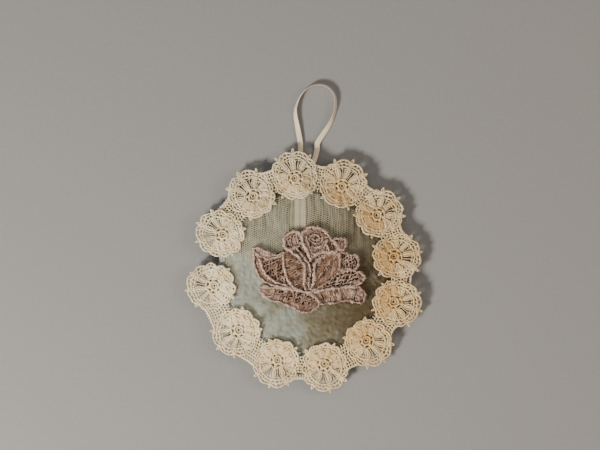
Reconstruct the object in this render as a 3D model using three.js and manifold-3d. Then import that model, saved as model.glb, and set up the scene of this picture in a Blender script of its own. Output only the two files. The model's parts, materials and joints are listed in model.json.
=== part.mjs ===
// Ring bearer pillow: a small round padded pillow that lies on its back, with a tulle overlay, an
// embroidered rose, a ring of guipure lace medallions and a narrow satin ribbon loop to hang it by.
// Units are millimetres. +Z points out of the pillow's face, +Y towards the ribbon loop, and the
// origin is the centre of the flat back, on the surface that the pillow lies on.
import * as THREE from "three";
import { mergeVertices } from "three/addons/utils/BufferGeometryUtils.js";
import Module from "manifold-3d";

const wasm = await Module();
wasm.setup();

// ---- Driving dimensions ----

const GAP = 0.3; // clearance between neighbouring pieces

// Pillow
const PILLOW_R = 54; // radius of the sewn rim
const SEAM_Z = 3.6; // height of the rim seam above the surface
const SEAM_CORD_R = 0.5; // radius of the seam's cord
const FRONT_RISE = 9.6; // how far the face rises from its rim to its crown
const FACE_FULLNESS = 0.6; // exponent of the face's profile: 0.5 is an ellipse, 1 a parabola
const PANEL_T = 0.7; // thickness of the front and back panels
const BACK_FLAT_R = 40; // radius of the back that lies flat

// Tulle overlay
const TULLE_T = 0.3;
const TULLE_INSET = 4; // how far the tulle's edge stays inside the rim

// Rose applique
const ROSE_WIDTH = 70;
const ROSE_T = 1.2;

// Lace medallions
const LACE_T = 1.2; // thickness of the lace
const LACE_FALL = 0.25; // how far the lace drops for each millimetre outwards
const LACE_SAG = 0.5; // room for flat facets that span the cone of the lace
const ROSETTE_OUT = 4.2; // mean distance of the rosettes' centres outside the rim
const MEDALLION_R = 15.2; // mean radius from the rosette to the scallops' crests
const MEDALLION_REACH = 1.9; // how much further the medallion reaches outwards
const MEDALLION_OVAL = 0.5; // how much longer than wide it is
const SCALLOP_DIP = 1.1; // depth of the cusp between two scallops
const PICOT_OUT = 0.5; // how far a picot's tip stands past the crests
const EYELET_R = 1.1; // hole in the rosette
const FAN_SLOT = { from: 5.6, to: 10.4, innerWidth: 1.1, outerWidth: 1.9 };

// Satin ribbon of the hanging loop
const RIBBON_W = 3.2;
const RIBBON_T = 0.4;
const EXIT_Z = 1.3; // height of the ribbon's middle where it leaves the lace
const HINGE_CLEAR = 1.0; // distance from the lace's edge to the line that the loop turns about
const LOOP_START = 0.6; // distance from that line to the loop's ends, which lets it fold up
const TAIL_END_Y = 27; // inner end of the two tails
const TAIL_LEFT_X = -4.3; // middle of the left tail at that end
const TAIL_SPACE = 0.5; // space between the two tails
const BAR_TACK_T = 0.8; // thickness of the bar tack across the tails
const BAR_TACK_L = 1; // its length along them
const BAR_TACK_OUT = 1; // distance of its middle outside the rim
const BRIDGE_LEAST = 2; // least length of a bridge, outwards from where two medallions part

// ---- Where things are ----

const RING_SIDES = 36; // facets round every turned piece
const FIRST_BEARING = 95.2; // bearing of the top medallion, degrees from +X
// How each medallion was sewn: its turn from an even spacing, in degrees, and its distance out
// from the mean ring. A ring of more medallions starts again at the first.
const MEDALLION_SHIFTS = [
  { turn: 0, out: 1.5 },
  { turn: 0.8, out: 1.0 },
  { turn: 2.5, out: 0.4 },
  { turn: 4.0, out: -0.4 },
  { turn: 6.6, out: 2.0 },
  { turn: 7.0, out: 0.4 },
  { turn: 7.0, out: 1.4 },
  { turn: 8.4, out: -0.1 },
  { turn: 6.2, out: -3.0 },
  { turn: 3.2, out: -0.6 },
  { turn: -0.2, out: -1.7 },
  { turn: -1.6, out: -0.6 },
];
const meanRingR = PILLOW_R + ROSETTE_OUT;
// The medallions whose sewing is listed, and more where a longer ring would part them.
const MEDALLION_COUNT = Math.max(
  MEDALLION_SHIFTS.length,
  Math.round((Math.PI * meanRingR) / MEDALLION_R),
);
const OPEN_JOIN = 9; // the ends of the edging meet after this medallion, with no bridge
// Cusps between the scallops, in degrees from the outward direction, on one side of it.
const CUSPS = [0, 39, 76, 108, 141, 180];
const FAN_BEARINGS = [-54, -18, 18, 54]; // openings between the five petals

const deg = THREE.MathUtils.degToRad;
const tulleR = PILLOW_R - TULLE_INSET;
const frontRimZ = SEAM_Z + SEAM_CORD_R + GAP;
const backRimZ = SEAM_Z - SEAM_CORD_R - GAP;
const tulleLift = GAP + RIBBON_T + GAP; // the tails lie between the face and the tulle

// Height of a domed profile of radius `radius` that rises by `rise` from its rim.
function domeRise(r, radius, rise) {
  return rise * Math.pow(Math.max(0, 1 - (r / radius) ** 2), FACE_FULLNESS);
}

const faceZ = (r) => frontRimZ + domeRise(r, PILLOW_R, FRONT_RISE);
const tulleTopZ = (r) => faceZ(r) + tulleLift + TULLE_T;
const roseTopZ = (r) => tulleTopZ(r) + GAP + ROSE_T;

// Height of a dished profile that lies flat at `floor` and curves up to `rim` at `radius`.
function dishRise(r, radius, floor, rim) {
  const up = Math.max(0, (r - BACK_FLAT_R) / (radius - BACK_FLAT_R));
  return floor + (rim - floor) * up * up;
}

// `count` + 1 radii from `from` to `to`, closer together towards `to`, where profiles are steep.
function radii(from, to, count) {
  const list = [];
  for (let i = 0; i <= count; i++) {
    list.push(from + (to - from) * Math.sin((Math.PI / 2) * (i / count)));
  }
  return list;
}

// ---- Solids ----

function toManifold(geometry) {
  const bare = new THREE.BufferGeometry();
  bare.setAttribute("position", geometry.getAttribute("position"));
  if (geometry.index) bare.setIndex(geometry.index);
  const merged = mergeVertices(bare, 1e-3);
  return new wasm.Manifold(
    new wasm.Mesh({
      numProp: 3,
      vertProperties: new Float32Array(merged.attributes.position.array),
      triVerts: new Uint32Array(merged.index.array),
    }),
  );
}

function fromManifold(solid) {
  const mesh = solid.getMesh();
  const geometry = new THREE.BufferGeometry();
  geometry.setAttribute("position", new THREE.BufferAttribute(mesh.vertProperties, 3));
  geometry.setIndex(new THREE.BufferAttribute(mesh.triVerts, 1));
  geometry.computeVertexNormals();
  return geometry;
}

// A turned solid about Z, from a profile of [radius, height] pairs that rises from the axis round
// its outside and back to the axis.
function turned(profile) {
  const points = profile.map(([r, z]) => new THREE.Vector2(Math.max(0, r), z));
  return new THREE.LatheGeometry(points, RING_SIDES).rotateX(Math.PI / 2);
}

// The part of a turned skin between two height functions, out to `radius`.
function skin(bottomZ, topZ, radius, steps) {
  const bottom = radii(0, radius, steps).map((r) => [r, bottomZ(r)]);
  const top = radii(0, radius, steps).map((r) => [r, topZ(r)]);
  return turned([...bottom, ...top.reverse()]);
}

function plate(points, holes, thickness) {
  const shape = new THREE.Shape(points);
  shape.holes = holes.map((hole) => new THREE.Path(hole));
  return new THREE.ExtrudeGeometry(shape, { depth: thickness, bevelEnabled: false });
}

// Moves every point of a plan-view plate up by the height that `zAt` gives at its radius.
function liftedTo(geometry, zAt) {
  const position = geometry.getAttribute("position");
  for (let i = 0; i < position.count; i++) {
    const r = Math.hypot(position.getX(i), position.getY(i));
    position.setZ(i, position.getZ(i) + zAt(r));
  }
  geometry.computeVertexNormals();
  return geometry;
}

// A flat band swept through stations {at, side, face}: its middle, the direction across its
// width and its face's normal.
function band(stations, width, thickness) {
  const corners = [
    [1, 1],
    [-1, 1],
    [-1, -1],
    [1, -1],
  ];
  const vertices = stations.flatMap(({ at, side, face }) =>
    corners.map(([a, b]) =>
      at
        .clone()
        .addScaledVector(side, (a * width) / 2)
        .addScaledVector(face, (b * thickness) / 2),
    ),
  );
  const index = [0, 1, 2, 0, 2, 3];
  for (let s = 0; s + 1 < stations.length; s++) {
    for (let k = 0; k < 4; k++) {
      const a = 4 * s + k;
      const b = 4 * s + ((k + 1) % 4);
      index.push(a, a + 4, b, b, a + 4, b + 4);
    }
  }
  const last = 4 * (stations.length - 1);
  index.push(last, last + 2, last + 1, last, last + 3, last + 2);
  const geometry = new THREE.BufferGeometry().setFromPoints(vertices);
  geometry.setIndex(index);
  geometry.computeVertexNormals();
  return geometry;
}

// Stations along a curve for a ribbon whose face is turned by `rollAt(u)` radians from lying
// flat towards facing the curve's left side.
function ribbonStations(curve, count, rollAt) {
  const stations = [];
  for (let i = 0; i <= count; i++) {
    const u = i / count;
    const tangent = curve.getTangentAt(u);
    const left = new THREE.Vector3(0, 0, 1).cross(tangent).normalize();
    const up = tangent.clone().cross(left);
    const roll = rollAt(u);
    const face = up.multiplyScalar(Math.cos(roll)).addScaledVector(left, Math.sin(roll));
    stations.push({ at: curve.getPointAt(u), side: tangent.clone().cross(face), face });
  }
  return stations;
}

// ---- The medallion ring, in plan ----

const medallions = [];
for (let i = 0; i < MEDALLION_COUNT; i++) {
  const { turn, out } = MEDALLION_SHIFTS[i % MEDALLION_SHIFTS.length];
  const bearing = deg(FIRST_BEARING - (360 / MEDALLION_COUNT) * i + turn);
  medallions.push({ bearing, radius: meanRingR + out });
}

// Distance from a rosette's centre to the crests, `a` radians from the outward direction.
function crestR(a) {
  return MEDALLION_R + MEDALLION_REACH * Math.cos(a) + MEDALLION_OVAL * Math.cos(2 * a);
}

// Scalloped outline round the rosette as [angle from outward, distance] pairs, anticlockwise.
function scallopedOutline() {
  const cusps = [...CUSPS, ...CUSPS.slice(1, -1).reverse().map((c) => 360 - c), 360];
  const outline = [];
  const halfPicot = 2.4;
  for (let k = 0; k + 1 < cusps.length; k++) {
    const from = cusps[k];
    const to = cusps[k + 1];
    outline.push([deg(from), crestR(deg(from)) + PICOT_OUT]);
    for (const s of [0, 0.25, 0.5, 0.75, 1]) {
      const a = deg(from + halfPicot + (to - from - 2 * halfPicot) * s);
      outline.push([a, crestR(a) - SCALLOP_DIP * (1 - Math.sin(Math.PI * s))]);
    }
  }
  return outline;
}

// Bearing halfway from medallion i to its neighbour, `step` of +1 or -1 round the ring.
function halfwayBearing(i, step) {
  const here = medallions[i].bearing;
  const there = medallions[(i + step + MEDALLION_COUNT) % MEDALLION_COUNT].bearing;
  const turn = Math.atan2(Math.sin(there - here), Math.cos(there - here));
  return here + turn / 2;
}

// A medallion's outline in plan. Neighbours meet on the line halfway between them, where their
// scallops merge, so an outline that crosses that line is drawn in to it.
function medallionPlan(i) {
  const { bearing, radius } = medallions[i];
  const centre = new THREE.Vector2(radius, 0).rotateAround(new THREE.Vector2(), bearing);
  const limits = [-1, 1].map((step) => {
    const half = halfwayBearing(i, step);
    const across = new THREE.Vector2(-Math.sin(half), Math.cos(half));
    if (across.dot(centre) < 0) across.negate();
    return across;
  });
  const toPlan = ([a, distance]) =>
    new THREE.Vector2(distance, 0).rotateAround(new THREE.Vector2(), bearing + a).add(centre);
  const outline = scallopedOutline().map((pair) => {
    let point = toPlan(pair);
    for (const across of limits) {
      const room = across.dot(centre) - GAP / 2 - 0.1;
      const beyond = across.dot(centre) - across.dot(point);
      if (beyond > room) point = centre.clone().lerp(point, room / beyond);
    }
    return point;
  });
  return { centre, outline, toPlan };
}

// Keeps an outline's points at least `apart` from each other.
function spaced(points, apart) {
  const kept = [];
  for (const point of points) {
    if (!kept.length || kept[kept.length - 1].distanceTo(point) > apart) kept.push(point);
  }
  if (kept[0].distanceTo(kept[kept.length - 1]) < apart) kept.pop();
  return kept;
}

const plans = medallions.map((_, i) => medallionPlan(i));
const allRadii = plans.flatMap((plan) => plan.outline.map((point) => point.length()));
const laceInnerR = Math.min(...allRadii);
const laceOuterY = Math.max(...plans[0].outline.map((point) => point.y));
const exitY = laceOuterY + HINGE_CLEAR;

// Height of a tail's middle: on the face under the tulle, then straight down to the exit.
function tailZ(r) {
  const onFace = (at) => faceZ(at) + GAP + RIBBON_T / 2;
  if (r <= tulleR) return onFace(r);
  return THREE.MathUtils.mapLinear(r, tulleR, exitY, onFace(tulleR), EXIT_Z);
}
const barTackY = PILLOW_R + BAR_TACK_OUT;
const barTackZ = tailZ(barTackY - BAR_TACK_L / 2) + RIBBON_T / 2 + GAP; // its underside

// ---- Rose outline ----

// The rose's edge in millimetres from the pillow's centre at a width of 70, clockwise from the tip
// of the left petal: the bud, the bloom, the small curl, the right-hand leaves, the two lower
// leaves and back up the left petal.
const ROSE_OUTLINE = [
  [-31.6, 14.2],
  [-25.5, 14.2],
  [-21.0, 12.0],
  [-16.6, 10.8],
  [-12.7, 12.5],
  [-12.3, 20.3],
  [-9.9, 23.7],
  [-5.4, 25.9],
  [-2.1, 23.6],
  [1.3, 26.5],
  [4.1, 28.1],
  [11.9, 27.0],
  [15.8, 22.4],
  [19.1, 21.4],
  [24.7, 21.4],
  [26.4, 18.1],
  [24.7, 13.6],
  [28.6, 10.8],
  [32.5, 10.8],
  [34.2, 7.5],
  [32.0, 1.9],
  [38.1, -1.4],
  [37.6, -4.8],
  [31.4, -8.1],
  [37.6, -11.5],
  [38.7, -14.8],
  [36.4, -19.3],
  [27.0, -17.6],
  [18.0, -19.3],
  [10.2, -19.3],
  [3.5, -24.9],
  [-0.9, -24.9],
  [-12.1, -19.8],
  [-21.0, -17.0],
  [-26.6, -13.7],
  [-27.2, -8.7],
  [-20.5, -7.6],
  [-26.0, -4.2],
  [-30.5, 3.0],
];
const rosePlan = ROSE_OUTLINE.map(([x, y]) =>
  new THREE.Vector2(x, y).multiplyScalar(ROSE_WIDTH / 70),
);
const roseReach = Math.max(...rosePlan.map((point) => point.length()));

// Underside of the lace: a cone that falls outwards and just clears the tulle and the bar tack,
// and the rose too where the rose reaches under it.
function laceBottomAtAxis() {
  const barReach = barTackY + BAR_TACK_L / 2;
  let height = barTackZ + BAR_TACK_T + GAP + LACE_SAG + LACE_FALL * barReach;
  for (let r = laceInnerR; r <= PILLOW_R; r += 0.5) {
    const below = r < roseReach + GAP ? roseTopZ(r) : r < tulleR + GAP ? tulleTopZ(r) : faceZ(r);
    height = Math.max(height, below + GAP + LACE_SAG + LACE_FALL * r);
  }
  return height;
}
const laceAxisZ = laceBottomAtAxis();
const laceZ = (r) => laceAxisZ - LACE_FALL * r;

// ---- Materials ----

function finish(color, roughness) {
  return new THREE.MeshStandardMaterial({ color, roughness, metalness: 0 });
}
const FINISHES = {
  face: finish(0x9c9f88, 0.85),
  back: finish(0x9a9c86, 0.9),
  wadding: finish(0xf1efe8, 1),
  tulle: finish(0xc8cbb8, 0.8),
  rose: finish(0x9a7768, 0.7),
  lace: finish(0xe6d5b2, 0.8),
  ribbon: finish(0xe3cfae, 0.4),
  thread: finish(0xd9c8a4, 0.7),
};

const pillow = new THREE.Group();
function add(name, geometry, material) {
  const mesh = new THREE.Mesh(geometry, material.clone());
  mesh.name = name;
  pillow.add(mesh);
}

// ---- Pillow body ----

function frontPanel() {
  const innerR = PILLOW_R - PANEL_T;
  const innerZ = (r) => frontRimZ + domeRise(r, innerR, FRONT_RISE - PANEL_T);
  const inside = radii(0, innerR, 9).map((r) => [r, innerZ(r)]);
  const outside = radii(0, PILLOW_R, 9).map((r) => [r, faceZ(r)]);
  return turned([...inside, ...outside.reverse()]);
}

function backPanel() {
  const innerR = PILLOW_R - PANEL_T;
  const rs = (edge) => [0, ...radii(BACK_FLAT_R, edge, 3)];
  const outside = rs(PILLOW_R).map((r) => [r, dishRise(r, PILLOW_R, 0, backRimZ)]);
  const inside = rs(innerR).map((r) => [r, dishRise(r, innerR, PANEL_T, backRimZ)]);
  return turned([...outside, ...inside.reverse()]);
}

function stuffing() {
  const edgeR = PILLOW_R - PANEL_T - GAP;
  const rise = FRONT_RISE - PANEL_T - GAP;
  const floor = PANEL_T + GAP;
  const below = [0, ...radii(BACK_FLAT_R, edgeR, 3)];
  const underside = below.map((r) => [r, dishRise(r, edgeR, floor, backRimZ + GAP)]);
  const top = radii(0, edgeR, 9).map((r) => [r, frontRimZ + domeRise(r, edgeR, rise)]);
  const inside = top.map(([r, z]) => [r, z - GAP * (r / edgeR)]);
  return turned([...underside, ...inside.reverse()]);
}

function rimSeam() {
  const ring = new THREE.TorusGeometry(PILLOW_R - SEAM_CORD_R, SEAM_CORD_R, 6, RING_SIDES);
  return ring.translate(0, 0, SEAM_Z);
}

add("back_panel", backPanel(), FINISHES.back);
add("stuffing", stuffing(), FINISHES.wadding);
add("rim_seam", rimSeam(), FINISHES.thread);
add("front_panel", frontPanel(), FINISHES.face);
add("tulle_overlay", skin((r) => faceZ(r) + tulleLift, tulleTopZ, tulleR, 8), FINISHES.tulle);

// ---- Rose applique: the rose's outline, cut from a skin that follows the tulle ----

function roseApplique() {
  const follow = skin((r) => tulleTopZ(r) + GAP, roseTopZ, roseReach + 1, 8);
  const prism = plate(rosePlan, [], roseTopZ(0) + 1);
  return fromManifold(toManifold(follow).intersect(toManifold(prism)));
}
add("rose_applique", roseApplique(), FINISHES.rose);

// ---- Lace ----

const twoDigits = (i) => String(i + 1).padStart(2, "0");

function medallion(i) {
  const { outline, toPlan } = plans[i];
  const eyelet = [];
  for (let k = 0; k < 8; k++) eyelet.push(toPlan([(k * Math.PI) / 4, EYELET_R]));
  const slots = FAN_BEARINGS.map((bearing) => {
    const halfIn = FAN_SLOT.innerWidth / 2 / FAN_SLOT.from;
    const halfOut = FAN_SLOT.outerWidth / 2 / FAN_SLOT.to;
    return [
      [deg(bearing) - halfIn, FAN_SLOT.from],
      [deg(bearing) - halfOut, FAN_SLOT.to],
      [deg(bearing) + halfOut, FAN_SLOT.to],
      [deg(bearing) + halfIn, FAN_SLOT.from],
    ].map(toPlan);
  });
  return liftedTo(plate(spaced(outline, 0.35), [eyelet, ...slots], LACE_T), laceZ);
}
medallions.forEach((_, i) => {
  add(`lace_medallion_${twoDigits(i)}`, medallion(i), FINISHES.lace);
});

// How far an outline stays from the ray from the origin along `along`, at distance `u` on it.
function offsetFromRay(outline, along, across, u) {
  let nearest = Infinity;
  outline.forEach((a, k) => {
    const b = outline[(k + 1) % outline.length];
    const ua = a.dot(along);
    const ub = b.dot(along);
    if ((ua - u) * (ub - u) > 0 || ua === ub) return;
    const t = (u - ua) / (ub - ua);
    nearest = Math.min(nearest, Math.abs(a.dot(across) * (1 - t) + b.dot(across) * t));
  });
  return nearest;
}

// The netted bridge after medallion i fills the wedge between the two outlines, outside the
// place where they meet and as far out as a cord that touches both.
function bridge(i) {
  const half = halfwayBearing(i, 1);
  const along = new THREE.Vector2(Math.cos(half), Math.sin(half));
  const across = new THREE.Vector2(-along.y, along.x);
  const sides = [plans[i].outline, plans[(i + 1) % MEDALLION_COUNT].outline];
  const step = MEDALLION_R / 20;
  const widthAt = (outline, u) => {
    const edges = [-1, 0, 1].map((k) => offsetFromRay(outline, along, across, u + k * step));
    const tips = outline.filter((point) => Math.abs(point.dot(along) - u) <= step);
    return Math.min(...edges, ...tips.map((point) => Math.abs(point.dot(across)))) - GAP;
  };
  let reach = meanRingR + MEDALLION_R * 0.66;
  const last = meanRingR + MEDALLION_R * 0.95;
  const left = [];
  const right = [];
  const from = meanRingR - MEDALLION_R * 0.4;
  for (let u = from; u <= last && (u <= reach || !left.length); u += step) {
    const [after, before] = sides.map((outline) => widthAt(outline, u));
    if (Math.min(after, before) < GAP || !Number.isFinite(after + before)) {
      left.length = 0;
      right.length = 0;
      continue;
    }
    if (!left.length) reach = Math.max(reach, u + BRIDGE_LEAST);
    // Medallions run clockwise, so medallion i lies on the anticlockwise side of the ray.
    left.push(along.clone().multiplyScalar(u).addScaledVector(across, after));
    right.push(along.clone().multiplyScalar(u).addScaledVector(across, -before));
  }
  return liftedTo(plate([...right, ...left.reverse()], [], LACE_T), laceZ);
}
for (let i = 0; i < MEDALLION_COUNT; i++) {
  if (i === OPEN_JOIN) continue;
  add(`lace_bridge_${twoDigits(i)}`, bridge(i), FINISHES.lace);
}

// Tacking stitches: short threads between the face and the lace, just outside the tulle.
// Each stands a little anticlockwise of its rosette, so that the top one misses the ribbon's tails.
const TACK_R = 0.6;
const TACK_TURN = deg(6);
function laceTack(i) {
  const bearing = medallions[i].bearing + TACK_TURN;
  const r = tulleR + GAP + TACK_R + 0.4;
  const foot = faceZ(r - TACK_R) + GAP;
  const head = laceZ(r + TACK_R) - GAP - LACE_SAG;
  const tack = new THREE.CylinderGeometry(TACK_R, TACK_R, head - foot, 8).rotateX(Math.PI / 2);
  tack.translate(r * Math.cos(bearing), r * Math.sin(bearing), (foot + head) / 2);
  return tack;
}
medallions.forEach((_, i) => add(`lace_tack_${twoDigits(i)}`, laceTack(i), FINISHES.thread));

// ---- Ribbon ----

// The free loop's middle line as [x, y from the exit line, how far its face is rolled on edge].
const LOOP_POINTS = [
  [-2.2, LOOP_START, 0],
  [-2.3, 2.6, 0],
  [-3.1, 7.4, 0.05],
  [-4.3, 13.7, 0.15],
  [-5.3, 19.2, 0.35],
  [-5.2, 24.2, 0.6],
  [-3.9, 28.4, 0.75],
  [-2.0, 32.2, 0.8],
  [0.9, 35.7, 0.8],
  [4.7, 38.2, 0.8],
  [8.9, 38.9, 0.8],
  [13.4, 38.0, 0.8],
  [16.8, 35.5, 0.8],
  [19.1, 31.7, 0.8],
  [19.75, 27.1, 0.75],
  [19.1, 21.7, 0.6],
  [17.6, 17.1, 0.4],
  [15.1, 12.5, 0.25],
  [11.6, 7.4, 0.1],
  [8.7, 2.8, 0],
  [8.3, LOOP_START, 0],
];

function rollAt(u) {
  const at = u * (LOOP_POINTS.length - 1);
  const i = Math.min(Math.floor(at), LOOP_POINTS.length - 2);
  const share = THREE.MathUtils.lerp(LOOP_POINTS[i][2], LOOP_POINTS[i + 1][2], at - i);
  return (share * Math.PI) / 2;
}

// Height of the ribbon's middle so that its lower edge stays clear of the surface.
function loopZ(share) {
  const roll = (share * Math.PI) / 2;
  return Math.max(EXIT_Z, (RIBBON_W / 2) * Math.sin(roll) + RIBBON_T);
}

function hangerLoop() {
  const points = LOOP_POINTS.map(
    ([x, y, share]) => new THREE.Vector3(x, exitY + y, loopZ(share)),
  );
  const curve = new THREE.CatmullRomCurve3(points, false, "centripetal");
  return band(ribbonStations(curve, 40, rollAt), RIBBON_W, RIBBON_T);
}
add("hanger_ribbon", hangerLoop(), FINISHES.ribbon);

const TAIL_X = { left: TAIL_LEFT_X, right: TAIL_LEFT_X + RIBBON_W + TAIL_SPACE };
function hangerTail(tuckX, exitX) {
  const points = [];
  for (let i = 0; i <= 16; i++) {
    const y = THREE.MathUtils.lerp(TAIL_END_Y, exitY - GAP, i / 16);
    const x = THREE.MathUtils.lerp(tuckX, exitX, THREE.MathUtils.smoothstep(y, tulleR, exitY));
    points.push(new THREE.Vector3(x, y, tailZ(Math.hypot(x, y))));
  }
  const curve = new THREE.CatmullRomCurve3(points, false, "centripetal");
  return band(ribbonStations(curve, 16, () => 0), RIBBON_W, RIBBON_T);
}
add("hanger_tail_left", hangerTail(TAIL_X.left, LOOP_POINTS[0][0]), FINISHES.ribbon);
add("hanger_tail_right", hangerTail(TAIL_X.right, LOOP_POINTS.at(-1)[0]), FINISHES.ribbon);

// Bar tack across both tails, hidden under the top medallion.
function barTack() {
  const width = TAIL_X.right - TAIL_X.left + RIBBON_W;
  const bar = new THREE.BoxGeometry(width, BAR_TACK_L, BAR_TACK_T);
  const middle = (TAIL_X.left + TAIL_X.right) / 2;
  return bar.translate(middle, barTackY, barTackZ + BAR_TACK_T / 2);
}
add("hanger_bar_tack", barTack(), FINISHES.thread);

export default pillow;
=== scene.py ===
"""A ring bearer pillow: a small round padded pillow with tulle, an embroidered rose, guipure lace and a ribbon loop.

The pillow lies on its back. Sizes in the classes are millimetres, and meshes are made in metres. +Z points out of
the face and +Y towards the ribbon loop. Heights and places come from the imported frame."""

import json
import logging
import math
from collections.abc import Callable
from dataclasses import dataclass, field
from enum import Enum

import bpy
import numpy as np
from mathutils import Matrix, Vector


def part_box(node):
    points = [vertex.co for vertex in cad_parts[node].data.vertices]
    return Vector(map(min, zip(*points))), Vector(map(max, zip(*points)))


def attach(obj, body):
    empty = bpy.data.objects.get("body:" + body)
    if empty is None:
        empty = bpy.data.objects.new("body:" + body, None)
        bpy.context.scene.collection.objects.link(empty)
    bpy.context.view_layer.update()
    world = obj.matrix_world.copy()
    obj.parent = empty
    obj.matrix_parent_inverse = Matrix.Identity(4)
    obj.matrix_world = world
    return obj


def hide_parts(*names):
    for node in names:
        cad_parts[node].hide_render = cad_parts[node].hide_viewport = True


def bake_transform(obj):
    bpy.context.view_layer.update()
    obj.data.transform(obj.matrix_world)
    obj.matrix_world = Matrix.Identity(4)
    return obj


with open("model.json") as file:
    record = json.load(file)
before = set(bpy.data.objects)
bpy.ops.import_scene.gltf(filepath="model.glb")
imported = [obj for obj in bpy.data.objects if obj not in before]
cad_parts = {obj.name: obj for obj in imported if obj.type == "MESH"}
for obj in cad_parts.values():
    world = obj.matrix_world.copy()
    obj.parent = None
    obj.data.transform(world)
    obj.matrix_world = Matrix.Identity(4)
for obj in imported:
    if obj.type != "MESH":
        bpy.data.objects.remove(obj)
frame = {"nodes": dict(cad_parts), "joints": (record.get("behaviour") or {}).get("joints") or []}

log = logging.getLogger("ring_pillow")
Array = np.ndarray
Colour = tuple[float, float, float]

MM = 0.001
PILLOW = "pillow"
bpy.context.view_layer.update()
SMALL = 1e-9


def node_points(name: str) -> Array:
    """Every vertex of a CAD node.

    Args:
        name: The node's name.

    Returns:
        Its vertices in millimetres, one row each.
    """
    data = frame["nodes"][name].data
    flat = np.empty(len(data.vertices) * 3)
    data.vertices.foreach_get("co", flat)
    return flat.reshape(-1, 3) / MM


def nodes_like(start: str) -> list[str]:
    """The names of the CAD nodes that begin with `start`, in order."""
    return sorted(name for name in frame["nodes"] if name.startswith(start))


def smooth(low: float, high: float, value: Array) -> Array:
    """Zero below `low`, one above `high`, and 3t^2 - 2t^3 between them."""
    t = np.clip((value - low) / (high - low), 0, 1)
    return t * t * (3 - 2 * t)


def soft_noise(x: Array, y: Array, scale: float, seed: int, waves: int = 7) -> Array:
    """Smooth seeded noise: a mean of sine waves of about `scale` millimetres in random directions.

    Args:
        x: Places along X, in millimetres.
        y: Places along Y, of the same shape.
        scale: Mean wavelength in millimetres.
        seed: Seed of the directions and phases.
        waves: How many sine waves are summed.

    Returns:
        Values of about -1 to 1, of the same shape as `x`.
    """
    draw = np.random.default_rng(seed)
    total = np.zeros(np.broadcast(x, y).shape)
    for _ in range(waves):
        heading = draw.uniform(0, math.tau)
        wave = math.tau / (scale * draw.uniform(0.6, 1.6))
        total += np.sin(wave * (x * math.cos(heading) + y * math.sin(heading)) + draw.uniform(0, math.tau))
    return total / math.sqrt(waves)


# ---------------------------------------------------------------- meshes


@dataclass
class Weave:
    """The mesh of one piece while it is put together, in millimetres.

    Each part brings its vertices, its quads and triangles, thread coordinates for each corner and one tone."""

    points: list[Array] = field(default_factory=list)
    quads: list[Array] = field(default_factory=list)
    tris: list[Array] = field(default_factory=list)
    quad_uv: list[Array] = field(default_factory=list)
    tri_uv: list[Array] = field(default_factory=list)
    tones: list[Array] = field(default_factory=list)
    count: int = 0

    def add(self, points: Array, quads: Array, quad_uv: Array, tris: Array, tri_uv: Array, tone: Array | float = 0.0) -> None:
        """Adds one part.

        Args:
            points: Vertices, one row each.
            quads: Four vertex numbers a row, counted in this part.
            quad_uv: Coordinates of each quad's corners.
            tris: Three vertex numbers a row.
            tri_uv: Coordinates of each triangle's corners.
            tone: Its share of the finish's second colour, as one number or one for each vertex.
        """
        self.points.append(points)
        self.quads.append(quads + self.count)
        self.tris.append(tris + self.count)
        self.quad_uv.append(quad_uv)
        self.tri_uv.append(tri_uv)
        self.tones.append(np.broadcast_to(tone, len(points)))
        self.count += len(points)

    def build(self, name: str, material: bpy.types.Material) -> bpy.types.Object:
        """Makes the object, with its place in its mesh.

        Args:
            name: The piece's name.
            material: Its finish.

        Returns:
            The new object, at the origin.
        """
        points = np.concatenate(self.points) * MM
        quads = np.concatenate(self.quads).astype(np.int32)
        tris = np.concatenate(self.tris).astype(np.int32)
        mesh = bpy.data.meshes.new(name)
        mesh.vertices.add(len(points))
        mesh.vertices.foreach_set("co", points.ravel())
        mesh.loops.add(quads.size + tris.size)
        mesh.loops.foreach_set("vertex_index", np.concatenate([quads.ravel(), tris.ravel()]))
        sizes = np.concatenate([np.full(len(quads), 4), np.full(len(tris), 3)]).astype(np.int32)
        mesh.polygons.add(len(sizes))
        starts = np.concatenate([[0], np.cumsum(sizes)[:-1]]).astype(np.int32)
        mesh.polygons.foreach_set("loop_start", starts)
        mesh.polygons.foreach_set("loop_total", sizes)
        mesh.polygons.foreach_set("use_smooth", np.ones(len(sizes), bool))
        thread = mesh.uv_layers.new(name="thread")
        corners = np.concatenate([np.concatenate(self.quad_uv).reshape(-1, 2), np.concatenate(self.tri_uv).reshape(-1, 2)])
        thread.data.foreach_set("uv", corners.ravel())
        tone = mesh.attributes.new("tone", "FLOAT", "POINT")
        tone.data.foreach_set("value", np.concatenate(self.tones))
        mesh.materials.append(material)
        mesh.update()
        mesh.validate()
        piece = bpy.data.objects.new(name, mesh)
        bpy.context.collection.objects.link(piece)
        return piece


def directions(paths: Array, closed: bool) -> tuple[Array, Array]:
    """Directions across and above cords that lie nearly flat.

    Across is the path's own direction crossed with +Z, and up is across crossed with the path's direction.

    Args:
        paths: Points of n paths of m stations, shaped (n, m, 3).
        closed: Whether each path ends where it starts.

    Returns:
        Unit vectors across and up, each shaped like `paths`.
    """
    if closed:
        ahead = np.roll(paths, -1, axis=1) - np.roll(paths, 1, axis=1)
    else:
        ahead = np.gradient(paths, axis=1)
    ahead = ahead / (np.linalg.norm(ahead, axis=2, keepdims=True) + SMALL)
    across = np.cross(ahead, [0.0, 0.0, 1.0])
    across = across / (np.linalg.norm(across, axis=2, keepdims=True) + SMALL)
    return across, np.cross(across, ahead)


@dataclass(frozen=True)
class Wind:
    """Thread wound round a cord: how deep its turns are, as a share of the radius, and how long each is."""

    depth: float = 0.0
    pitch: float = 0.9


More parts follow.
